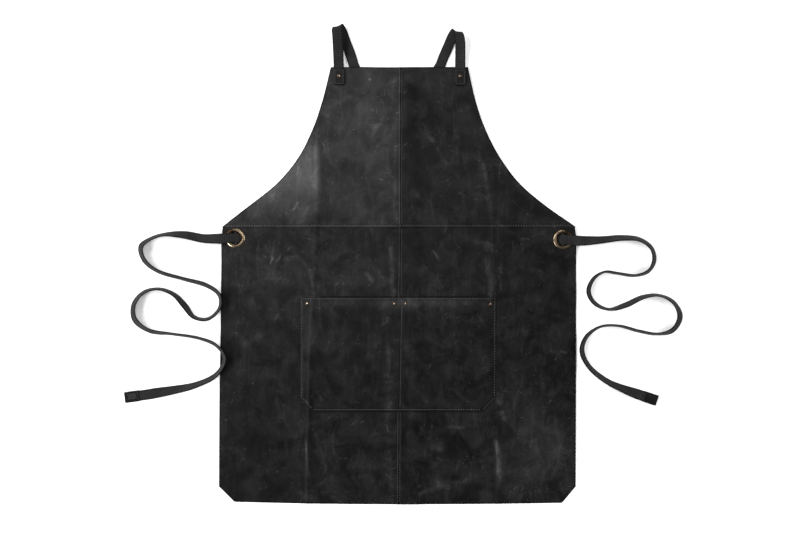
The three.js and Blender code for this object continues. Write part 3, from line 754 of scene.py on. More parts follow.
def makeStrap(name, node, held, tie):
    at, centre, side, normal = strapCurve(held, tie, strap["rib"] / strap["stepsPerRib"])
    section = strapSection()
    ribTurn = fullTurn * at / strap["rib"]
    swell = strap["ribDepth"] * np.cos(ribTurn) * (1 + strap["pairing"] * np.cos(ribTurn / 2))
    swell = swell[:, None]
    outer = np.sign(section[:, 0]) * (np.abs(section[:, 0]) > strap["edgeFrom"])
    across = section[:, 0] + strap["edgeSwell"] * swell * outer
    face = section[:, 1] + swell * np.sign(section[:, 1])
    points = centre[:, None] + across[..., None] * side[:, None] + face[..., None] * normal[:, None]
    count = len(section)
    faces = [corners[::-1] for corners in ringFaces(len(at), count).tolist() + endCaps(len(at), count)]
    uv = np.stack(np.broadcast_arrays(at[:, None], section[:, 0]), -1).reshape(-1, 2) * mm
    piece = newMesh(name, points.reshape(-1, 3), faces, [webbing], uv=uv)
    settle(piece, "webbing_black", node)
    return piece, centre[:: strap["ribsPerPathPoint"] * strap["stepsPerRib"]], at[-1]


strapLeft, strapLeftPath, strapLeftLength = makeStrap("strapLeft", "strap_left", leftHeld, leftTie)
strapRight, strapRightPath, strapRightLength = makeStrap("strapRight", "strap_right", rightHeld, rightTie)
print("straps:", round(strapLeftLength), "and", round(strapRightLength), "mm")


# How the leather rises over what lies under it
leather = {
    "thickness": 1.8, "layer": 2.0, "bevel": 0.55,
    "rimHigh": 0.27, "rimLow": 0.25,  # shares of the thickness that the rounded rim takes
    "cell": 2.6, "fineCell": 1.3, "fineWithin": (5, 28), "gridSamples": 4000,
}
crossing = (-8, 346)  # where one strap passes over the other
eyeletCentres = {"left": (-316, 93), "right": (321, 90)}
tabCentres = {"left": (-114.3, 406.2), "right": (121, 405.6)}
drapeShape = {  # rise, how far it stays level and how far it then falls away
    "strap": (3.0, 12, 34), "crossing": (5.3, 40, 38), "eyelet": (4.6, 20, 45), "tab": (2.8, 22, 38),
}
drapeBlend = 8  # how clearly the highest of the rises wins
loopRows = 9  # rows of a held stretch that make its loop, before it goes under the bib
hiddenStraps = [rows[loopRows:-1] for rows in (leftHeld, rightHeld)]
foldLines = [
    [(-156, 300), (-158, 120), (-172, -160), (-176, -440)],
    [(160, 260), (184, 145), (192, 0), (196, -200), (198, -440)],
]
fold = {"height": 0.9, "width": 4.0, "swell": 0.6, "swellWidth": 20.0}
waves = [  # height, length, turn and start, both in radians, of each slow wave of the laid leather
    (0.16, 260, 0.3, 0.4), (0.14, 190, 1.9, 2.1), (0.12, 150, -0.9, 4.0), (0.08, 90, 0.9, 1.2),
]


def fittingRises(x, y):
    rises = []
    for kind, centres in (("eyelet", eyeletCentres), ("tab", tabCentres)):
        rise, flat, fall = drapeShape[kind]
        for centre in centres.values():
            rises.append(rise * fadeOut(np.hypot(x - centre[0], y - centre[1]), flat, fall))
    return rises


def drape(x, y):
    rise, flat, fall = drapeShape["strap"]
    rises = [rise * fadeOut(distanceToLine(x, y, rows), flat, fall) for rows in hiddenStraps]
    rise, flat, fall = drapeShape["crossing"]
    rises.append(rise * fadeOut(np.hypot(x - crossing[0], y - crossing[1]), flat, fall))
    fittings = fittingRises(x, y)
    height = sum(r**drapeBlend for r in rises + fittings) ** (1 / drapeBlend)
    loose = 1 - np.clip(sum(fittings) / 2, 0, 1)  # flat where a tab or an eyelet holds the leather
    for line in foldLines:
        away = distanceToLine(x, y, line)
        height = height + loose * fold["height"] * bell(away, fold["width"])
        height = height + loose * fold["swell"] * bell(away, fold["swellWidth"])
    for size, length, turn, start in waves:
        phase = fullTurn * (x * np.cos(turn) + y * np.sin(turn)) / length + start
        height = height + loose * size * (1 + np.sin(phase)) / 2
    return height


# Seams, waist and pocket: where the panels lap over each other
seam = {
    "edge": 1.8, "lapEdge": 24.0, "leftRamp": (-40, 2), "rightRamp": (26, 58),
    "hemDrift": -3.8, "driftLength": 540,
}
waist = {"edge": 114.0, "skirtTop": 128.0, "ramp": (131, 172)}
bibTop = 425.8
pocket = {
    "left": -189.2, "right": 190.4, "top": -23.2, "bottom": -243.3, "chamfer": 24.0, "chamferInset": 0.59,
    "divider": (7.7, 4.0), "gape": 3.2, "gapeCurve": 1.5,
}


def pocketDepth(y):
    # 0 at the pocket's mouth and 1 at its bottom
    return np.clip((pocket["top"] - y) / (pocket["top"] - pocket["bottom"]), 0, 1)


def pocketBulge(x, y):
    high, low = pocket["divider"]
    middle = high + pocketDepth(y) * (low - high)
    left = np.clip((x - pocket["left"]) / (middle - pocket["left"]), 0, 1)
    right = np.clip((pocket["right"] - x) / (pocket["right"] - middle), 0, 1)
    across = np.sin(np.pi * np.where(x < middle, left, right)) ** 2
    return pocket["gape"] * across * (1 - pocketDepth(y)) ** pocket["gapeCurve"]


def layersUnder(name, x, y):
    # how many layers of leather a panel lies on
    left = smoothstep(*seam["leftRamp"], x)
    right = 1 - smoothstep(*seam["rightRamp"], x)
    skirt = 1 - smoothstep(*waist["ramp"], y)
    return {
        "skirtLeft": np.zeros(np.shape(x)),
        "skirtRight": right,
        "bibLeft": skirt * (1 + left),
        "bibRight": skirt * (1 + right) + right,
        "pocketPatch": 1 + np.minimum(left, right),
    }[name]


def underside(name, x, y):
    bulge = pocketBulge(x, y) if name == "pocketPatch" else 0
    return drape(x, y) + leather["layer"] * layersUnder(name, x, y) + bulge


# Stitch rows, each a line on one panel
stitch = {
    "pitch": 5.0, "length": 3.1, "lengthSpread": (0.92, 1.06), "radius": 0.52,
    "slant": (7, 3),  # degrees off the row, and their spread
    "lift": 0.2, "dip": 0.55, "groove": 0.5, "grooveWidth": 1.8,
}
inset = {"pocket": 2.5, "waist": 3.8, "seam": 5.4, "divider": 3}  # from an edge to a row or its end
waistRow = waist["edge"] + inset["waist"]


def pocketFrame(away):
    # the pocket's outline, that far in from its edge, from the top left down and round to the top right
    left = pocket["left"] + away
    right = pocket["right"] - away
    top = pocket["top"] - away
    bottom = pocket["bottom"] + away
    corner = pocket["chamfer"] - away * pocket["chamferInset"]  # keeps the chamfer's own row as far in
    return [
        (left, top), (left, bottom + corner), (left + corner, bottom),
        (right - corner, bottom), (right, bottom + corner), (right, top),
    ]


def seamX(y):
    # the right panels' edge, which drifts to the left towards the hem
    return seam["edge"] + seam["hemDrift"] * np.clip((waist["edge"] - y) / seam["driftLength"], 0, 1)


def seamRow(start, end):
    return [(seamX(y) + inset["seam"], y) for y in (start, end)]


pocketRow = pocketFrame(inset["pocket"])
stitchRows = {
    "bibLeft": [[(-336, waistRow), (seam["edge"], waistRow)]],
    "bibRight": [[(seam["edge"] + 1, waistRow), (339, waistRow)], seamRow(121, 423.5)],
    "skirtRight": [seamRow(111, -22), seamRow(-246, -424)],
    "pocketPatch": [
        pocketRow[:3], pocketRow[2:4], pocketRow[3:], [pocketRow[0], pocketRow[-1]],
        [(pocket["divider"][0], pocket["top"] - inset["divider"]),
         (pocket["divider"][1], pocket["bottom"] + inset["divider"])],
    ],
}


def grooves(x, y, rows):
    depth = np.zeros(np.shape(x))
    for row in rows:
        depth = np.maximum(depth, bell(distanceToLine(x, y, row), stitch["grooveWidth"]))
    return stitch["groove"] * depth


edgeBand = {"flat": 0.9, "fall": 1.6, "depth": 5}  # the strip along a cut edge that is inked, or painted pale as wear and as a painted highlight on a lapping edge's bevel


def edgeStrip(top, sides):
    # how dark (1) or pale (below 0) each point is for lying near the low, right, high and left edges
    strip = np.zeros(top.shape[:2])
    every = slice(None)
    steps = range(edgeBand["depth"])
    bands = (
        [(k, every) for k in steps], [(every, -1 - k) for k in steps],
        [(-1 - k, every) for k in steps], [(every, k) for k in steps],
    )
    for weight, lines in zip(sides, bands):
        edge = top[lines[0]][:, :2]
        along = unit(np.gradient(edge, axis=0))
        for line in lines:
            away = top[line][:, :2] - edge
            away = np.abs(away[:, 0] * along[:, 1] - away[:, 1] * along[:, 0])
            share = weight * fadeOut(away, edgeBand["flat"], edgeBand["fall"])
            strip[line] = np.where(np.abs(share) > np.abs(strip[line]), share, strip[line])
    return strip


def holeWalls(quads, kept, count):
    # faces from top to bottom wherever a face that stays meets one that is cut away
    edges = {}
    for quad, stays in zip(quads, kept):
        for a, b in zip(quad, np.roll(quad, -1)):
            edges.setdefault(frozenset((a, b)), []).append((a, b, stays))
    walls = []
    for users in edges.values():
        if len(users) == 2 and users[0][2] != users[1][2]:
            a, b = next((u[0], u[1]) for u in users if u[2])
            walls.append((b, a, a + count, b + count))
    return np.array(walls)


def closedSheet(name, top, bottom, materials, keep=None, sides=(1, 1, 1, 1)):
    # a sheet between two grids of points, with a rounded rim all round
    strip = edgeStrip(top, sides).ravel()
    rows, columns = top.shape[:2]
    count = rows * columns
    index = np.arange(count).reshape(rows, columns)
    loop = np.concatenate([index[0, :-1], index[:-1, -1], index[-1, :0:-1], index[:0:-1, 0]])
    top = top.reshape(-1, 3).copy()
    bottom = bottom.reshape(-1, 3).copy()
    upper = top[loop].copy()
    lower = bottom[loop].copy()
    rise = upper - lower
    outward = unit(np.cross(np.roll(upper, -1, 0) - np.roll(upper, 1, 0), rise))
    top[loop] -= outward * leather["bevel"]
    bottom[loop] -= outward * leather["bevel"]
    rim = [upper - leather["rimHigh"] * rise, lower + leather["rimLow"] * rise]
    points = np.concatenate([top, bottom, *rim])
    quads = np.stack([index[:-1, :-1], index[:-1, 1:], index[1:, 1:], index[1:, :-1]], -1).reshape(-1, 4)
    walls = []
    if keep is not None:
        walls = [holeWalls(quads, keep.ravel(), count)]
        quads = quads[keep.ravel()]
    i = np.arange(len(loop))
    k = (i + 1) % len(loop)
    rings = [loop, 2 * count + i, 2 * count + len(loop) + i, count + loop]
    rimFaces = [np.stack([a[k], a, b, b[k]], -1) for a, b in zip(rings[:-1], rings[1:])]
    faces = np.concatenate([quads, quads[:, ::-1] + count, *rimFaces, *walls])
    faceMaterial = np.full(len(faces), 2)
    faceMaterial[: len(quads)] = 0
    faceMaterial[len(quads):2 * len(quads)] = 1
    used, faces = np.unique(faces, return_inverse=True)
    piece = newMesh(name, points[used], faces.reshape(-1, 4), materials, faceMaterial)
    rimShare = np.concatenate([strip, np.zeros(count), strip[loop], strip[loop]])
    setAttribute(piece, "rim", rimShare[used])
    return piece


# Outlines of the panels: rows of y and x
armhole = {
    "left": [
        (bibTop, -130.5), (361, -147), (303, -167), (244, -198), (197, -238), (151, -296), (114, -342.4),
    ],
    "right": [
        (bibTop, 136.5), (361, 151.5), (303, 171.5), (244, 203), (197, 239.5), (151, 294.5), (114, 346.8),
    ],
}
skirtSide = {
    "left": [(128, -325), (114, -341), (92, -343.5), (-88, -345.6), (-228, -348), (-391, -348.6)],
    "right": [(128, 326), (114, 344.5), (92, 347.5), (-88, 347.4), (-228, 347.2), (-391, 346.4)],
}
hem = {"middle": -425.8, "left": (-318.5, -421.0), "right": (320.0, -423.0), "blend": 70}
eyeletHole = {"radius": 15.2, "pull": 1.0}  # points closer than the pull inside its rim are drawn out to it
panelGrid = {  # outer edge, and where the grid is fine across: at edges, rows of stitches and scratches
    "bib": {"left": (-260, [-260, -5]), "right": (265, [6, 265])},
    "skirt": {"left": (-348, [-348, -242, -1]), "right": (347, [6, 347])},
    "bibRows": [waistRow, bibTop],
    "skirtRows": [hem["middle"], 112, 54, -21],
    "divider": 6,
}


def hemEdge(side, x):
    corner = hem[side]
    end = skirtSide[side][-1]
    t = np.clip((x - corner[0]) / (seam["edge"] - corner[0]), 0, 1)
    curve = hem["middle"] + (1 - t) ** 2 * (corner[1] - hem["middle"])
    chamfer = end[0] + (corner[1] - end[0]) * (x - end[1]) / (corner[0] - end[1])
    outside = x < corner[0] if side == "left" else x > corner[0]
    return np.where(outside, chamfer, curve)


def pocketEdge(x):
    near = np.minimum(x - pocket["left"], pocket["right"] - x)
    return pocket["bottom"] + np.clip(pocket["chamfer"] - near, 0, None)


def gridLines(low, high, focuses):
    # positions from low to high, closer together near the focuses
    at = np.linspace(low, high, leather["gridSamples"])
    near = np.min([np.abs(at - focus) for focus in focuses], axis=0)
    widening = (leather["cell"] - leather["fineCell"]) * smoothstep(*leather["fineWithin"], near)
    density = 1 / (leather["fineCell"] + widening)
    total = np.concatenate([[0], np.cumsum((density[1:] + density[:-1]) / 2 * np.diff(at))])
    return np.interp(np.linspace(0, total[-1], int(np.ceil(total[-1])) + 1), total, at)


def panelPlan(xLines, yLines, leftEdge, rightEdge, lowerEdge=None):
    share = (xLines - xLines[0]) / (xLines[-1] - xLines[0])
    x = leftEdge[:, None] + (rightEdge - leftEdge)[:, None] * share
    y = np.repeat(yLines[:, None], len(xLines), axis=1)
    if lowerEdge is not None:
        lift = lowerEdge(x[0]) - yLines[0]
        y = y + lift * fadeOut(yLines - yLines[0], 0, hem["blend"])[:, None]
    return x, y


def sidePlan(kind, side, yLines, edge, lowerEdge=None):
    # a left or right panel, between its outer edge and the middle seam
    outer, focuses = panelGrid[kind][side]
    if side == "left":
        xLines = gridLines(outer, seam["lapEdge"], focuses)
        return panelPlan(xLines, yLines, edge, np.full(len(yLines), seam["lapEdge"]), lowerEdge)
    xLines = gridLines(seam["edge"], outer, focuses)
    return panelPlan(xLines, yLines, seamX(yLines), edge, lowerEdge)


def bibPlan(side):
    yLines = gridLines(waist["edge"], bibTop, panelGrid["bibRows"])
    return sidePlan("bib", side, yLines, smoothThrough(armhole[side], yLines))


def skirtPlan(side):
    yLines = gridLines(hem["middle"], waist["skirtTop"], panelGrid["skirtRows"])
    rows = np.array(sorted(skirtSide[side]))
    edge = np.interp(yLines, rows[:, 0], rows[:, 1])
    return sidePlan("skirt", side, yLines, edge, lambda x: hemEdge(side, x))


def pocketPlan():
    left, right, top, bottom = (pocket[key] for key in ("left", "right", "top", "bottom"))
    yLines = gridLines(bottom, top, [bottom + inset["pocket"], top - inset["pocket"]])
    focuses = [left + inset["pocket"], right - inset["pocket"], panelGrid["divider"]]
    xLines = gridLines(left, right, focuses)
    return panelPlan(xLines, yLines, np.full(len(yLines), left), np.full(len(yLines), right), pocketEdge)


def cutHole(x, y, centre):
    # faces to keep around an eyelet's hole, with the hole's rim drawn to a circle
    radius = eyeletHole["radius"]
    away = np.hypot(x - centre[0], y - centre[1])
    inside = away < radius - eyeletHole["pull"]
    touched = inside[:-1, :-1] | inside[:-1, 1:] | inside[1:, 1:] | inside[1:, :-1]
    rim = np.zeros(x.shape, bool)
    for down in (slice(None, -1), slice(1, None)):
        for along in (slice(None, -1), slice(1, None)):
            rim[down, along] |= touched
    rim &= ~inside
    x[rim] = centre[0] + (x[rim] - centre[0]) * radius / away[rim]
    y[rim] = centre[1] + (y[rim] - centre[1]) * radius / away[rim]
    return ~touched


def makePanel(name, node, x, y, sides, hole):
    keep = cutHole(x, y, hole) if hole else None
    low = underside(name, x, y)
    high = low + leather["thickness"] - grooves(x, y, stitchRows.get(name, []))
    top = np.stack([x, y, high], -1)
    bottom = np.stack([x, y, low], -1)
    piece = closedSheet(name, top, bottom, [leatherFace, fleshSide, cutEdge], keep, sides)
    return settle(piece, "leather_black", node)


def flatArea(x, y):
    # area of the cut piece, from its grid in plan
    ax, ay = (at[1:, 1:] - at[:-1, :-1] for at in (x, y))
    bx, by = (at[1:, :-1] - at[:-1, 1:] for at in (x, y))
    return np.abs(ax * by - ay * bx).sum() / 2 * mm * mm


# Edges marked 1 are inked. Lapping edges are painted pale, partly as wear and partly as a painted highlight
# where their bevel faces the lamps
wearAndPaintedLight = {"bibSeam": -1.3, "skirtSeam": -0.7, "waist": -0.5, "pocket": -0.75}
panels = {}
for name, node, plan, sides, hole in (  # with the low, right, high and left edges
    ("skirtLeft", "skirt_left", skirtPlan("left"), (1, 0, 0, 1), eyeletCentres["left"]),
    ("skirtRight", "skirt_right", skirtPlan("right"), (1, 1, 0, wearAndPaintedLight["skirtSeam"]), eyeletCentres["right"]),
    ("bibLeft", "bib_left", bibPlan("left"), (wearAndPaintedLight["waist"], 0, 1, 1), None),
    ("bibRight", "bib_right", bibPlan("right"), (wearAndPaintedLight["waist"], 1, 1, wearAndPaintedLight["bibSeam"]), None),
    ("pocketPatch", "pocket", pocketPlan(), (0, 0, wearAndPaintedLight["pocket"], wearAndPaintedLight["pocket"]), None),
):
    flat = [float(np.ptp(at)) * mm for at in plan]
    area = flatArea(*plan)
    panels[name] = (makePanel(name, node, *plan, sides, hole), flat, area)
    print(name, "cut from", [round(side, 4) for side in flat], "m, area", round(area, 4))


# Marks on the leather, as levels of grey from 0 to 255: broad patches (x, y, reach across, reach along,
# change) and pull-up streaks (from x, y to x, y, width, level), with a few painted shadows and highlights
# among them, noted where they stand
paint = {
    "bibLeft": {
        "level": 57, "scuff": 0.35,
        "patches": [
            (-130, 313, 22, 40, -4), (-87, 226, 26, 18, -8), (-127, 346, 22, 24, 12),
            (-33, 156, 30, 22, -11), (-148, 138, 24, 20, -12), (-60, 270, 40, 50, 4),
            (-300, 125, 40, 16, -8), (-48, 315, 48, 45, 8), (-100, 128, 95, 10, -10),
        ],
        "streaks": [
            (-10, 421, -10, 354, 8, 62), (-6, 356, -52, 292, 12, 72), (-5, 290, -5, 124, 8, 62),
            (-67, 374, -50, 343, 6, 66), (-104, 376, -104, 343, 6, 60), (-161, 278, -159, 148, 5, 66),
            (-125, 208, -126, 124, 5, 60), (-175, 152, -188, 124, 7, 70), (-33, 206, -32, 175, 6, 62),
            (-203, 147, -194, 164, 1.9, 100), (-55, 402, -54, 401, 4, 92),
        ],
    },
    "bibRight": {
        "level": 36, "scuff": 0.35,
        "patches": [
            (27, 282, 14, 90, -16), (30, 398, 22, 18, 6), (250, 150, 60, 25, -4), (75, 402, 60, 20, 13),
            (68, 300, 24, 26, 8),
        ],
        "streaks": [
            (49, 315, 93, 239, 7, 56), (166, 241, 174, 193, 6, 60), (174, 193, 184, 146, 6, 50),
            (147, 191, 170, 195, 3, 54), (35, 177, 37, 175, 9, 54),
        ],
    },
    "skirtLeft": {
        "level": 34, "scuff": 0.4,
        "patches": [
            (-260, 40, 90, 60, 10), (-329, 54, 22, 16, 8), (-269, 21, 26, 16, 8), (-236, 11, 14, 12, 6),
            (-181, -412, 10, 8, 14), (-204, -229, 16, 16, 14), (-100, 60, 90, 40, 4),
            # the first patch on the next line is painted shade, darker towards the lower left where the
            # light falls off
            (-270, -330, 90, 110, -11), (-240, 15, 8, 7, 10), (-250, 105, 50, 16, 12),
            (-110, 5, 80, 28, 9), (-26, 30, 22, 45, 8), (-322, 2, 24, 30, 7),
        ],
        "streaks": [
            (-171, 31, -162, -26, 6, 55), (-13, 72, -9, -26, 8, 58), (-179, -301, -177, -348, 2.6, 78),
            (-177, -348, -169, -398, 5, 47), (-325, -119, -265, -96, 16, 45), (-251, -82, -224, -45, 3, 46),
            (-154, -385, -56, -369, 3, 43), (-23, -244, -13, -422, 12, 42), (-62, 25, -50, 9, 6, 50),
            # both streaks on the next line are painted shadow: a dark line above the pocket's mouth and one
            # below its bottom
            (-148, -22.1, 24, -22.1, 3.0, 12), (-163, -245, 6, -245, 2.8, 14),
        ],
    },
    "skirtRight": {
        "level": 29, "scuff": 0.35,
        "patches": [
            (275, -325, 80, 75, 27), (234, -281, 16, 16, 6), (221, -402, 16, 14, 8), (82, -385, 12, 10, 24),
            (82, -314, 12, 12, 22), (24, -326, 14, 14, 14), (120, 70, 80, 40, 4),
            (52, 28, 60, 40, 11), (230, -225, 110, 42, 9), (170, -395, 95, 26, 14), (88, -330, 45, 30, 7),
        ],
        "streaks": [
            (170, 101, 184, -26, 12, 48), (200, 50, 200, -6, 4, 52), (69, 68, 82, 48, 3, 58),
            (240, 92, 255, 91, 3, 58), (224, 87, 226, 68, 3, 54), (193, -305, 200, -378, 8, 50),
            (191, -303, 194, -368, 2.6, 44), (197, -223, 207, -258, 12, 48), (43, -404, 133, -379, 8, 45),
            (96, -275, 127, -277, 4, 43),
            # the last two streaks on the next line are painted shadow: a dark line above the pocket's mouth
            # and one below its bottom
            (318, -127, 328, -131, 3, 60), (0, -22.1, 188, -22.1, 2.8, 12), (0, -245, 164, -245, 2.8, 14),
        ],
    },
    "pocketPatch": {
        "level": 31, "scuff": 0.35,
        "patches": [
            # painted light: the first two patches are a painted highlight along the mouth and down the left
            # side, the fourth a painted shadow down the right side
            (0, -33, 170, 10, 25), (-172, -110, 12, 70, 13), (-171, -172, 4, 8, 14), (180, -110, 7, 80, -8),
            (-28, -68, 16, 44, 11), (-78, -125, 30, 40, 5), (-127, -91, 24, 26, -5),
        ],
        "streaks": [
            (-18, -49, -18, -240, 10, 45), (-33, -78, -19, -67, 3, 60), (154, -55, 165, -71, 3, 58),
        ],
    },
}
sheen = {"x": -158, "y": 222, "reach": 58, "edge": 12, "change": 43}  # bright wedge by the left armhole
star = [  # scratches from one place on the left skirt: from x, y to x, y, width, change
    (-249, 43, -243, 55, 2.4, 40), (-237, 46, -227, 63, 2.4, 34), (-234, 49, -211, 75, 3.0, 20),
    (-246, 57, -240, 87, 3.4, 16), (-231, 52, -195, 58, 4.5, 14), (-228, 48, -198, 51, 2.4, 12),
    (-246, 51, -264, 60, 2.4, 16), (-245, 14, -222, 14, 3.4, 11), (-252, 66, -262, 84, 3.0, 9),
]
brush = {"streak": 0.55, "grooveShade": 14, "starScuff": 0.35, "starReach": 70, "trimScuff": 0.2}


def paintLeather(piece, marks):
    count = len(piece.data.vertices)
    points = np.empty(count * 3)
    piece.data.vertices.foreach_get("co", points)
    x, y = points.reshape(-1, 3).T[:2] / mm
    tone = np.full(count, float(marks["level"]))
    for px, py, across, along, change in marks["patches"]:
        tone += change * bell(x - px, across) * bell(y - py, along)
    scuff = np.full(count, marks["scuff"])
    strokes = [(*row[:5], row[5] - marks["level"]) for row in marks["streaks"]]
    if piece.name == "bibLeft":
        wedge = bell(y - sheen["y"], sheen["reach"]) * fadeOut(x - sheen["x"], 0, sheen["edge"])
        tone += sheen["change"] * wedge
    if piece.name == "skirtLeft":
        strokes += star
        scuff += brush["starScuff"] * bell(np.hypot(x - star[0][0], y - star[0][1]), brush["starReach"])
    streaks = np.zeros(count)
    for x0, y0, x1, y1, width, change in strokes:
        away = distanceToLine(x, y, [(x0, y0), (x1, y1)])
        streaks += change * bell(away, brush["streak"] * width)
    # painted shade along the stitch grooves
    for row in stitchRows.get(piece.name, []):
        tone -= brush["grooveShade"] * bell(distanceToLine(x, y, row), stitch["grooveWidth"])
    setAttribute(piece, "tone", tone / 255)
    setAttribute(piece, "marks", streaks / 255)
    setAttribute(piece, "scuff", scuff)


for name, (piece, flat, area) in panels.items():
    paintLeather(piece, paint[name])
print("leather painted")


def plainTone(piece, level):
    count = len(piece.data.vertices)
    setAttribute(piece, "tone", np.full(count, level / 255))
    setAttribute(piece, "marks", np.zeros(count))
    setAttribute(piece, "scuff", np.full(count, brush["trimScuff"]))


# Stitching: each stitch a short bent thread that dips into the leather at its ends
threadProfile = np.array([  # place from end to end, share of the radius, how pale, with the dark ends painted shade where the thread dips
    (-1.0, 0.3, 0.0), (-0.86, 0.8, 0.0), (-0.5, 1.0, 0.6), (0.0, 1.06, 1.0), (0.5, 1.0, 0.6),
    (0.86, 0.8, 0.0), (1.0, 0.3, 0.0),
])
threadSides = 6
threadPale = {  # how pale the crests are rubbed, row by row
    "bibLeft": (1.0,), "bibRight": (0.85, 0.4), "skirtRight": (0.4, 0.5),
    "pocketPatch": (0.65, 0.85, 0.42, 0.5, 0.6), "tab": 0.25, "tip": 0.18,
}


def stitchPlaces(rows, pitch):
    # places and headings of the stitches of all the rows, and how many each row has
    places = []
    headings = []
    for row in rows:
        row = np.asarray(row, float)
        length = runningLength(row)
        at = (np.arange(int(length[-1] / pitch)) + 0.5) * pitch
        places.append(np.stack([np.interp(at, length, row[:, k]) for k in range(row.shape[1])], -1))
        i = np.clip(np.searchsorted(length, at) - 1, 0, len(row) - 2)
        headings.append(unit(np.diff(row, axis=0)[i]))
    return np.concatenate(places), np.concatenate(headings), [len(place) for place in places]


def stitchMesh(name, places, headings, pale, ups=None):
    if ups is None:
        ups = np.tile((0.0, 0.0, 1.0), (len(places), 1))
    at, swell, crest = threadProfile.T
    turn = np.linspace(0, fullTurn, threadSides, endpoint=False)
    lift = stitch["lift"] - stitch["dip"] * at**4
    oneStitch = ringFaces(len(at), threadSides).tolist() + endCaps(len(at), threadSides)
    points = []
    faces = []
    for place, heading, up in zip(places, headings, ups):
        slant = np.radians(rng.normal(*stitch["slant"]))
        along = heading * np.cos(slant) + np.cross(up, heading) * np.sin(slant)
        across = np.cross(up, along)
        half = stitch["length"] / 2 * rng.uniform(*stitch["lengthSpread"])
        spine = place + along * (at * half)[:, None] + up * lift[:, None]
        ring = (np.cos(turn)[:, None] * across + np.sin(turn)[:, None] * up) * stitch["radius"]
        base = len(points) * len(at) * threadSides
        points.append((spine[:, None] + ring * swell[:, None, None]).reshape(-1, 3))
        faces.extend([base + n for n in corners] for corners in oneStitch)
    piece = newMesh(name, np.concatenate(points), faces, [thread])
    crests = np.tile(np.repeat(crest, threadSides), (len(points), 1))
    setAttribute(piece, "crest", (np.reshape(pale, (-1, 1)) * crests).ravel())
    return settle(piece, "webbing_black")


for name, rows in stitchRows.items():
    flat, heading, counts = stitchPlaces(rows, stitch["pitch"])
    ahead = flat + heading
    z = underside(name, flat[:, 0], flat[:, 1])
    slope = underside(name, ahead[:, 0], ahead[:, 1]) - z
    places = np.column_stack([flat, z + leather["thickness"] - stitch["groove"]])
    headings = unit(np.column_stack([heading, slope]))
    side = np.column_stack([-heading[:, 1], heading[:, 0], np.zeros(len(flat))])
    pale = np.repeat(threadPale[name], counts)
    stitchMesh(name + "Stitches", places, headings, pale, np.cross(headings, side))
print("stitching done")


# Tabs over the strap ends, sewn down and riveted a little above their middle
tab = {
    "width": 21.5, "length": 32.0, "corner": 1.8, "under": 7.2, "cell": 0.9, "tone": 34,
    "inset": 2.7, "pitch": 3.0,
    "groove": (0.28, 1.3), "dent": (0.3, 6),  # depth and width
    "sideDroop": (0.5, 9.5, 11), "endDroop": (0.7, 12.5, 16),  # depth, and where it starts and ends
    "rivetUp": 2.0, "rivetSeat": 3.0,
}


def tabFrame():
    x = tab["width"] / 2 - tab["inset"]
    y = tab["length"] / 2 - tab["inset"]
    return [(-x, -y), (x, -y), (x, y), (-x, y), (-x, -y)]


def tabDroop(x, y):
    sideDepth, *sideSpan = tab["sideDroop"]
    endDepth, *endSpan = tab["endDroop"]
    return sideDepth * smoothstep(*sideSpan, np.abs(x)) + endDepth * smoothstep(*endSpan, -y)


def tabTop(x, y):
    # height over the tab's seat, with its box stitch and the dent round its rivet
    depth, width = tab["groove"]
    groove = depth * bell(distanceToLine(x, y, tabFrame()), width)
    depth, width = tab["dent"]
    dent = depth * bell(np.hypot(x, y - tab["rivetUp"]), width)
    return leather["thickness"] - groove - tabDroop(x, y) - dent


def makeTab(side):
    cx, cy = tabCentres[side]
    half = tab["length"] / 2
    yLines = np.linspace(-half, half, int(tab["length"] / tab["cell"]))
    xLines = np.linspace(-tab["width"] / 2, tab["width"] / 2, int(tab["width"] / tab["cell"]))
    near = np.clip(tab["corner"] - (yLines + half), 0, None)
    cut = tab["corner"] - np.sqrt(tab["corner"] ** 2 - near**2)
    x, y = panelPlan(xLines, yLines, xLines[0] + cut, xLines[-1] - cut)
    top = np.stack([x + cx, y + cy, tab["under"] + tabTop(x, y)], -1)
    bottom = np.stack([x + cx, y + cy, tab["under"] - tabDroop(x, y)], -1)
    name = "tab" + side.capitalize()
    piece = closedSheet(name, top, bottom, [leatherTrim, fleshSide, cutEdge])
    plainTone(piece, tab["tone"])
    settle(piece, "leather_trim", "strap_tab_" + side)
    flat, heading, counts = stitchPlaces([tabFrame()], tab["pitch"])
    places = np.column_stack([flat + (cx, cy), tab["under"] + tabTop(flat[:, 0], flat[:, 1])])
    headings = np.column_stack([heading, np.zeros(len(flat))])
    stitchMesh(name + "Stitches", places, headings, threadPale["tab"])


def lathe(name, rows, sides, centre, material, closed, sideShade=0.0):
    # a turned piece: rows of radius, height and tarnish about a centre, and the least darkening of its
    # sides, which is painted shade
    rows = np.asarray(rows, float)
    turn = np.linspace(0, fullTurn, sides, endpoint=False)
    ring = np.stack([np.cos(turn), np.sin(turn)], -1)
    flat = rows[:, None, :1] * ring[None] + np.asarray(centre, float)
    height = np.broadcast_to(rows[:, None, 1:2], flat.shape[:2] + (1,))
    points = np.concatenate([flat, height], -1).reshape(-1, 3)
    faces = ringFaces(len(rows), sides, closed).tolist()
    if not closed:
        faces += endCaps(len(rows), sides)
    piece = newMesh(name, points, faces, [material])
    setAttribute(piece, "age", np.maximum(rows[:, 2:], np.broadcast_to(sideShade, (1, sides))).ravel())
    return piece


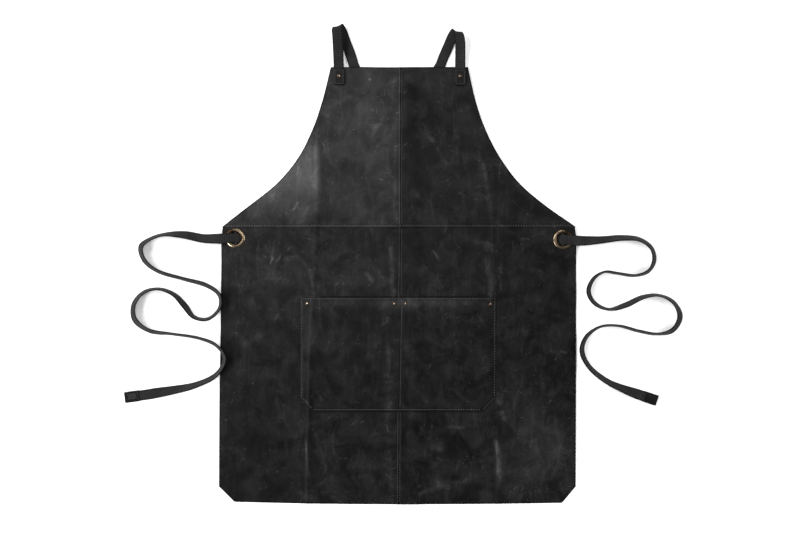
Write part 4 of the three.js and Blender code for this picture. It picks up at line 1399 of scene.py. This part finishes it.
# Rivets: a washer behind, a shank and a domed head that is bare metal in the middle
rivet = {
    "washer": 3.1, "washerSheet": 0.6, "washerRound": 0.2, "washerHole": 0.4, "shank": 1.3, "sides": 40,
    "rim": [(-0.15, 0.0), (0.0, 0.12), (-0.1, 0.3)],  # beyond the head's radius, over its seat
    "rimHeight": 0.25, "domeRows": (0.92, 0.06, 10), "domeCurve": (2.6, 0.6),
    "hiddenTarnish": 0.9, "bareFade": 0.3,
}
tabRivet = {"head": 4.2, "dome": 1.6, "tarnish": 0.55, "bare": 0.18}
pocketRivet = {"head": 3.3, "dome": 1.2, "tarnish": 0.0, "bare": 0.35}
pocketRivetPlaces = {
    "outer_left": (-177, -35), "inner_left": (-7, -35), "inner_right": (15, -35), "outer_right": (180, -36),
}


def makeRivet(name, node, x, y, seat, kind):
    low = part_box(node)[0][2] / mm
    high = low + rivet["washerSheet"]
    rounded = rivet["washer"] - rivet["washerRound"]
    rows = [
        (rivet["washerHole"], low), (rounded, low), (rivet["washer"], low + rivet["washerRound"]),
        (rounded, high), (rivet["shank"], high), (rivet["shank"], seat),
    ]
    rows += [(kind["head"] + out, seat + up) for out, up in rivet["rim"]]
    rows = [(radius, height, rivet["hiddenTarnish"]) for radius, height in rows]
    flatness, roundness = rivet["domeCurve"]
    for share in np.linspace(*rivet["domeRows"]):
        rise = (kind["dome"] - rivet["rimHeight"]) * (1 - share**flatness) ** roundness
        dulled = smoothstep(kind["bare"], kind["bare"] + rivet["bareFade"], share)
        tarnish = kind["tarnish"] + (1 - kind["tarnish"]) * dulled
        rows.append((kind["head"] * share, seat + rivet["rimHeight"] + rise, tarnish))
    piece = lathe(name, rows, rivet["sides"], (x, y), copper, False)
    settle(piece, "rivet_copper", node)


for side, (x, y) in tabCentres.items():
    makeTab(side)
    seat = tab["under"] + tabTop(0.0, tab["rivetUp"] + tab["rivetSeat"])
    name = "tabRivet" + side.capitalize()
    makeRivet(name, "tab_rivet_" + side, x, y + tab["rivetUp"], float(seat), tabRivet)
for place, (x, y) in pocketRivetPlaces.items():
    seat = underside("pocketPatch", np.float64(x), np.float64(y)) + leather["thickness"]
    words = "".join(word.capitalize() for word in place.split("_"))
    makeRivet("pocketRivet" + words, "pocket_rivet_" + place, x, y, float(seat), pocketRivet)
print("tabs and rivets done")


# Eyelets: a rolled front ring, a barrel and a flat washer behind, with a thin lip into the hole
eyelet = {
    "hole": 12.7, "lip": 2.2, "barrel": 13.7, "washer": 17.5, "front": 19.0,  # radii, and the lip's reach
    "base": 3.3, "face": 6.45, "crown": 8.6, "crownIn": 0.3, "ringAngles": (170, 6, 15), "ringCurve": 0.8,
    "lipHeights": (0.05, 0.35, 0.45), "washerSheet": 1.0, "round": 0.3, "fillet": 0.2, "holeRound": 0.4,
    "holeDull": 0.75, "holeSpan": (-0.5, 0.4), "edgeDull": 0.8, "edgeSpan": (0.85, 1.0),
    "shadeSpan": (0.3, 0.8), "sides": 96,
}
eyeletAge = {  # least tarnish of the ring, and the heading in degrees of its side darkened as painted shade, where the strap shades it
    "left": (0.12, 150), "right": (0.42, 30),
}


def makeEyelet(side):
    clean, shadedSide = eyeletAge[side]
    hole, front, washer, barrel = (eyelet[key] for key in ("hole", "front", "washer", "barrel"))
    base, face, crown = (eyelet[key] for key in ("base", "face", "crown"))
    lip = hole - eyelet["lip"]
    low, high, top = (base + height for height in eyelet["lipHeights"])
    # the lip, which narrows the gap round the strap, and the hole's wall are fully dark as painted shade
    # inside the hole
    rows = [(lip, low, 1.0), (lip, high, 1.0), (hole, top, 1.0), (hole, face, 1.0)]
    middle = (hole + front) / 2 - eyelet["crownIn"]
    for angle in np.radians(np.linspace(*eyelet["ringAngles"])):
        reach = front - middle if angle < np.pi / 2 else middle - hole
        out = np.cos(angle)  # from the hole to the outer edge
        holeSide = eyelet["holeDull"] * smoothstep(*eyelet["holeSpan"], -out)
        edgeSide = eyelet["edgeDull"] * smoothstep(*eyelet["edgeSpan"], out)
        tarnish = clean + (1 - clean) * max(holeSide, edgeSide)
        height = face + (crown - face) * np.sin(angle) ** eyelet["ringCurve"]
        rows.append((middle + reach * out, height, tarnish))
    sheet = base + eyelet["washerSheet"]
    corner, fillet = eyelet["round"], eyelet["fillet"]
    hidden = [
        (front - fillet, face), (barrel + corner, face), (barrel, face - corner), (barrel, sheet + fillet),
        (washer - corner, sheet), (washer, sheet - corner), (washer, base + corner), (washer - corner, base),
        (hole + eyelet["holeRound"], base),
    ]
    rows += [(radius, height, 1.0) for radius, height in hidden]
    turn = np.linspace(0, fullTurn, eyelet["sides"], endpoint=False)
    # painted shade: the ring is darker on the side where the strap leaves over it
    sideShade = smoothstep(*eyelet["shadeSpan"], np.cos(turn - np.radians(shadedSide)))
    name = "eyelet" + side.capitalize()
    piece = lathe(name, rows[::-1], eyelet["sides"], eyeletCentres[side], brass, True, sideShade)
    settle(piece, "eyelet_brass", "eyelet_" + side)


makeEyelet("left")
makeEyelet("right")
print("eyelets done")


# Tips: a strip of leather folded round each strap end, one of them sewn over with crossed rows
tip = {
    "length": 29.0, "width": 21.0, "wall": 1.2, "slot": 2.8, "clearance": 0.3, "cell": 1.0, "pinch": 0.35,
    "crown": 0.35, "crownCurve": 3, "upperFrom": (2.0, 4.0), "runSteps": 26, "bendSteps": 13,
    "inset": 2.2, "pitch": 3.2, "sewnPinch": 0.6, "tone": 28,
    "crossedTone": 17, "crossings": (4.5, 20, 3.2), "crossReach": 5, "crossInset": 1.5,
}
tipHeight = tip["slot"] + 2 * tip["wall"]


def tipSide(offset):
    # the folded strip's line seen from the side, that far in from its outer face
    bend = tipHeight / 2
    foldAt = tip["length"] - bend
    run = np.linspace(0, foldAt, tip["runSteps"])
    turn = np.radians(np.linspace(-90, 90, tip["bendSteps"])[1:-1])
    arc = np.column_stack([foldAt + (bend - offset) * np.cos(turn), bend + (bend - offset) * np.sin(turn)])
    lower = np.column_stack([run, np.full(len(run), offset)])
    back = run[::-1]
    upper = np.column_stack([back, tipHeight - offset - tip["pinch"] * (1 - back / foldAt) ** 2])
    return np.concatenate([lower, arc, upper])


def tipRows(crossed):
    # rows of stitches from the tip's open end, along and across it
    edge = tip["width"] / 2 - tip["inset"]
    rows = [[(tip["inset"], -edge), (tip["inset"], edge)]]
    if crossed:
        edge -= tip["crossInset"]
        for place in np.arange(*tip["crossings"]):
            rows.append([(place, -edge), (place + tip["crossReach"], edge)])
            rows.append([(place + tip["crossReach"], -edge), (place, edge)])
    return rows


def makeTip(name, node, tie, crossed):
    before, end = np.array(tie[-2][:2]), np.array(tie[-1][:2])
    heading = unit(end - before)
    across = np.array([-heading[1], heading[0]])
    start = end - (tip["length"] - tip["wall"] - tip["clearance"] - tip["slot"] / 2) * heading
    half = tip["width"] / 2
    wide = np.linspace(-half, half, int(tip["width"] / tip["cell"]) + 1)
    sheets = []
    for offset in (0.0, tip["wall"]):
        line = tipSide(offset)
        upper = smoothstep(*tip["upperFrom"], line[:, 1])[:, None]
        drop = upper * tip["crown"] * np.abs(wide / half)[None] ** tip["crownCurve"]
        flat = start + line[:, None, :1] * heading + wide[None, :, None] * across
        sheets.append(np.concatenate([flat, (line[:, 1:] - drop)[..., None]], -1))
    piece = closedSheet(name, *sheets, [leatherTrim, fleshSide, cutEdge])
    plainTone(piece, tip["crossedTone"] if crossed else tip["tone"])
    settle(piece, "leather_trim", node)
    local, run, counts = stitchPlaces(tipRows(crossed), tip["pitch"])
    height = tipHeight - tip["pinch"] * tip["sewnPinch"]
    drop = tip["crown"] * np.abs(local[:, 1] / half) ** tip["crownCurve"]
    places = np.column_stack([start + local[:, :1] * heading + local[:, 1:] * across, height - drop])
    headings = np.column_stack([run[:, :1] * heading + run[:, 1:] * across, np.zeros(len(local))])
    return piece, stitchMesh(name + "Stitches", places, headings, threadPale["tip"])


tipLeft = makeTip("tipLeft", "strap_tip_left", leftTie, False)
tipRight = makeTip("tipRight", "strap_tip_right", rightTie, True)
print("strap tips done")
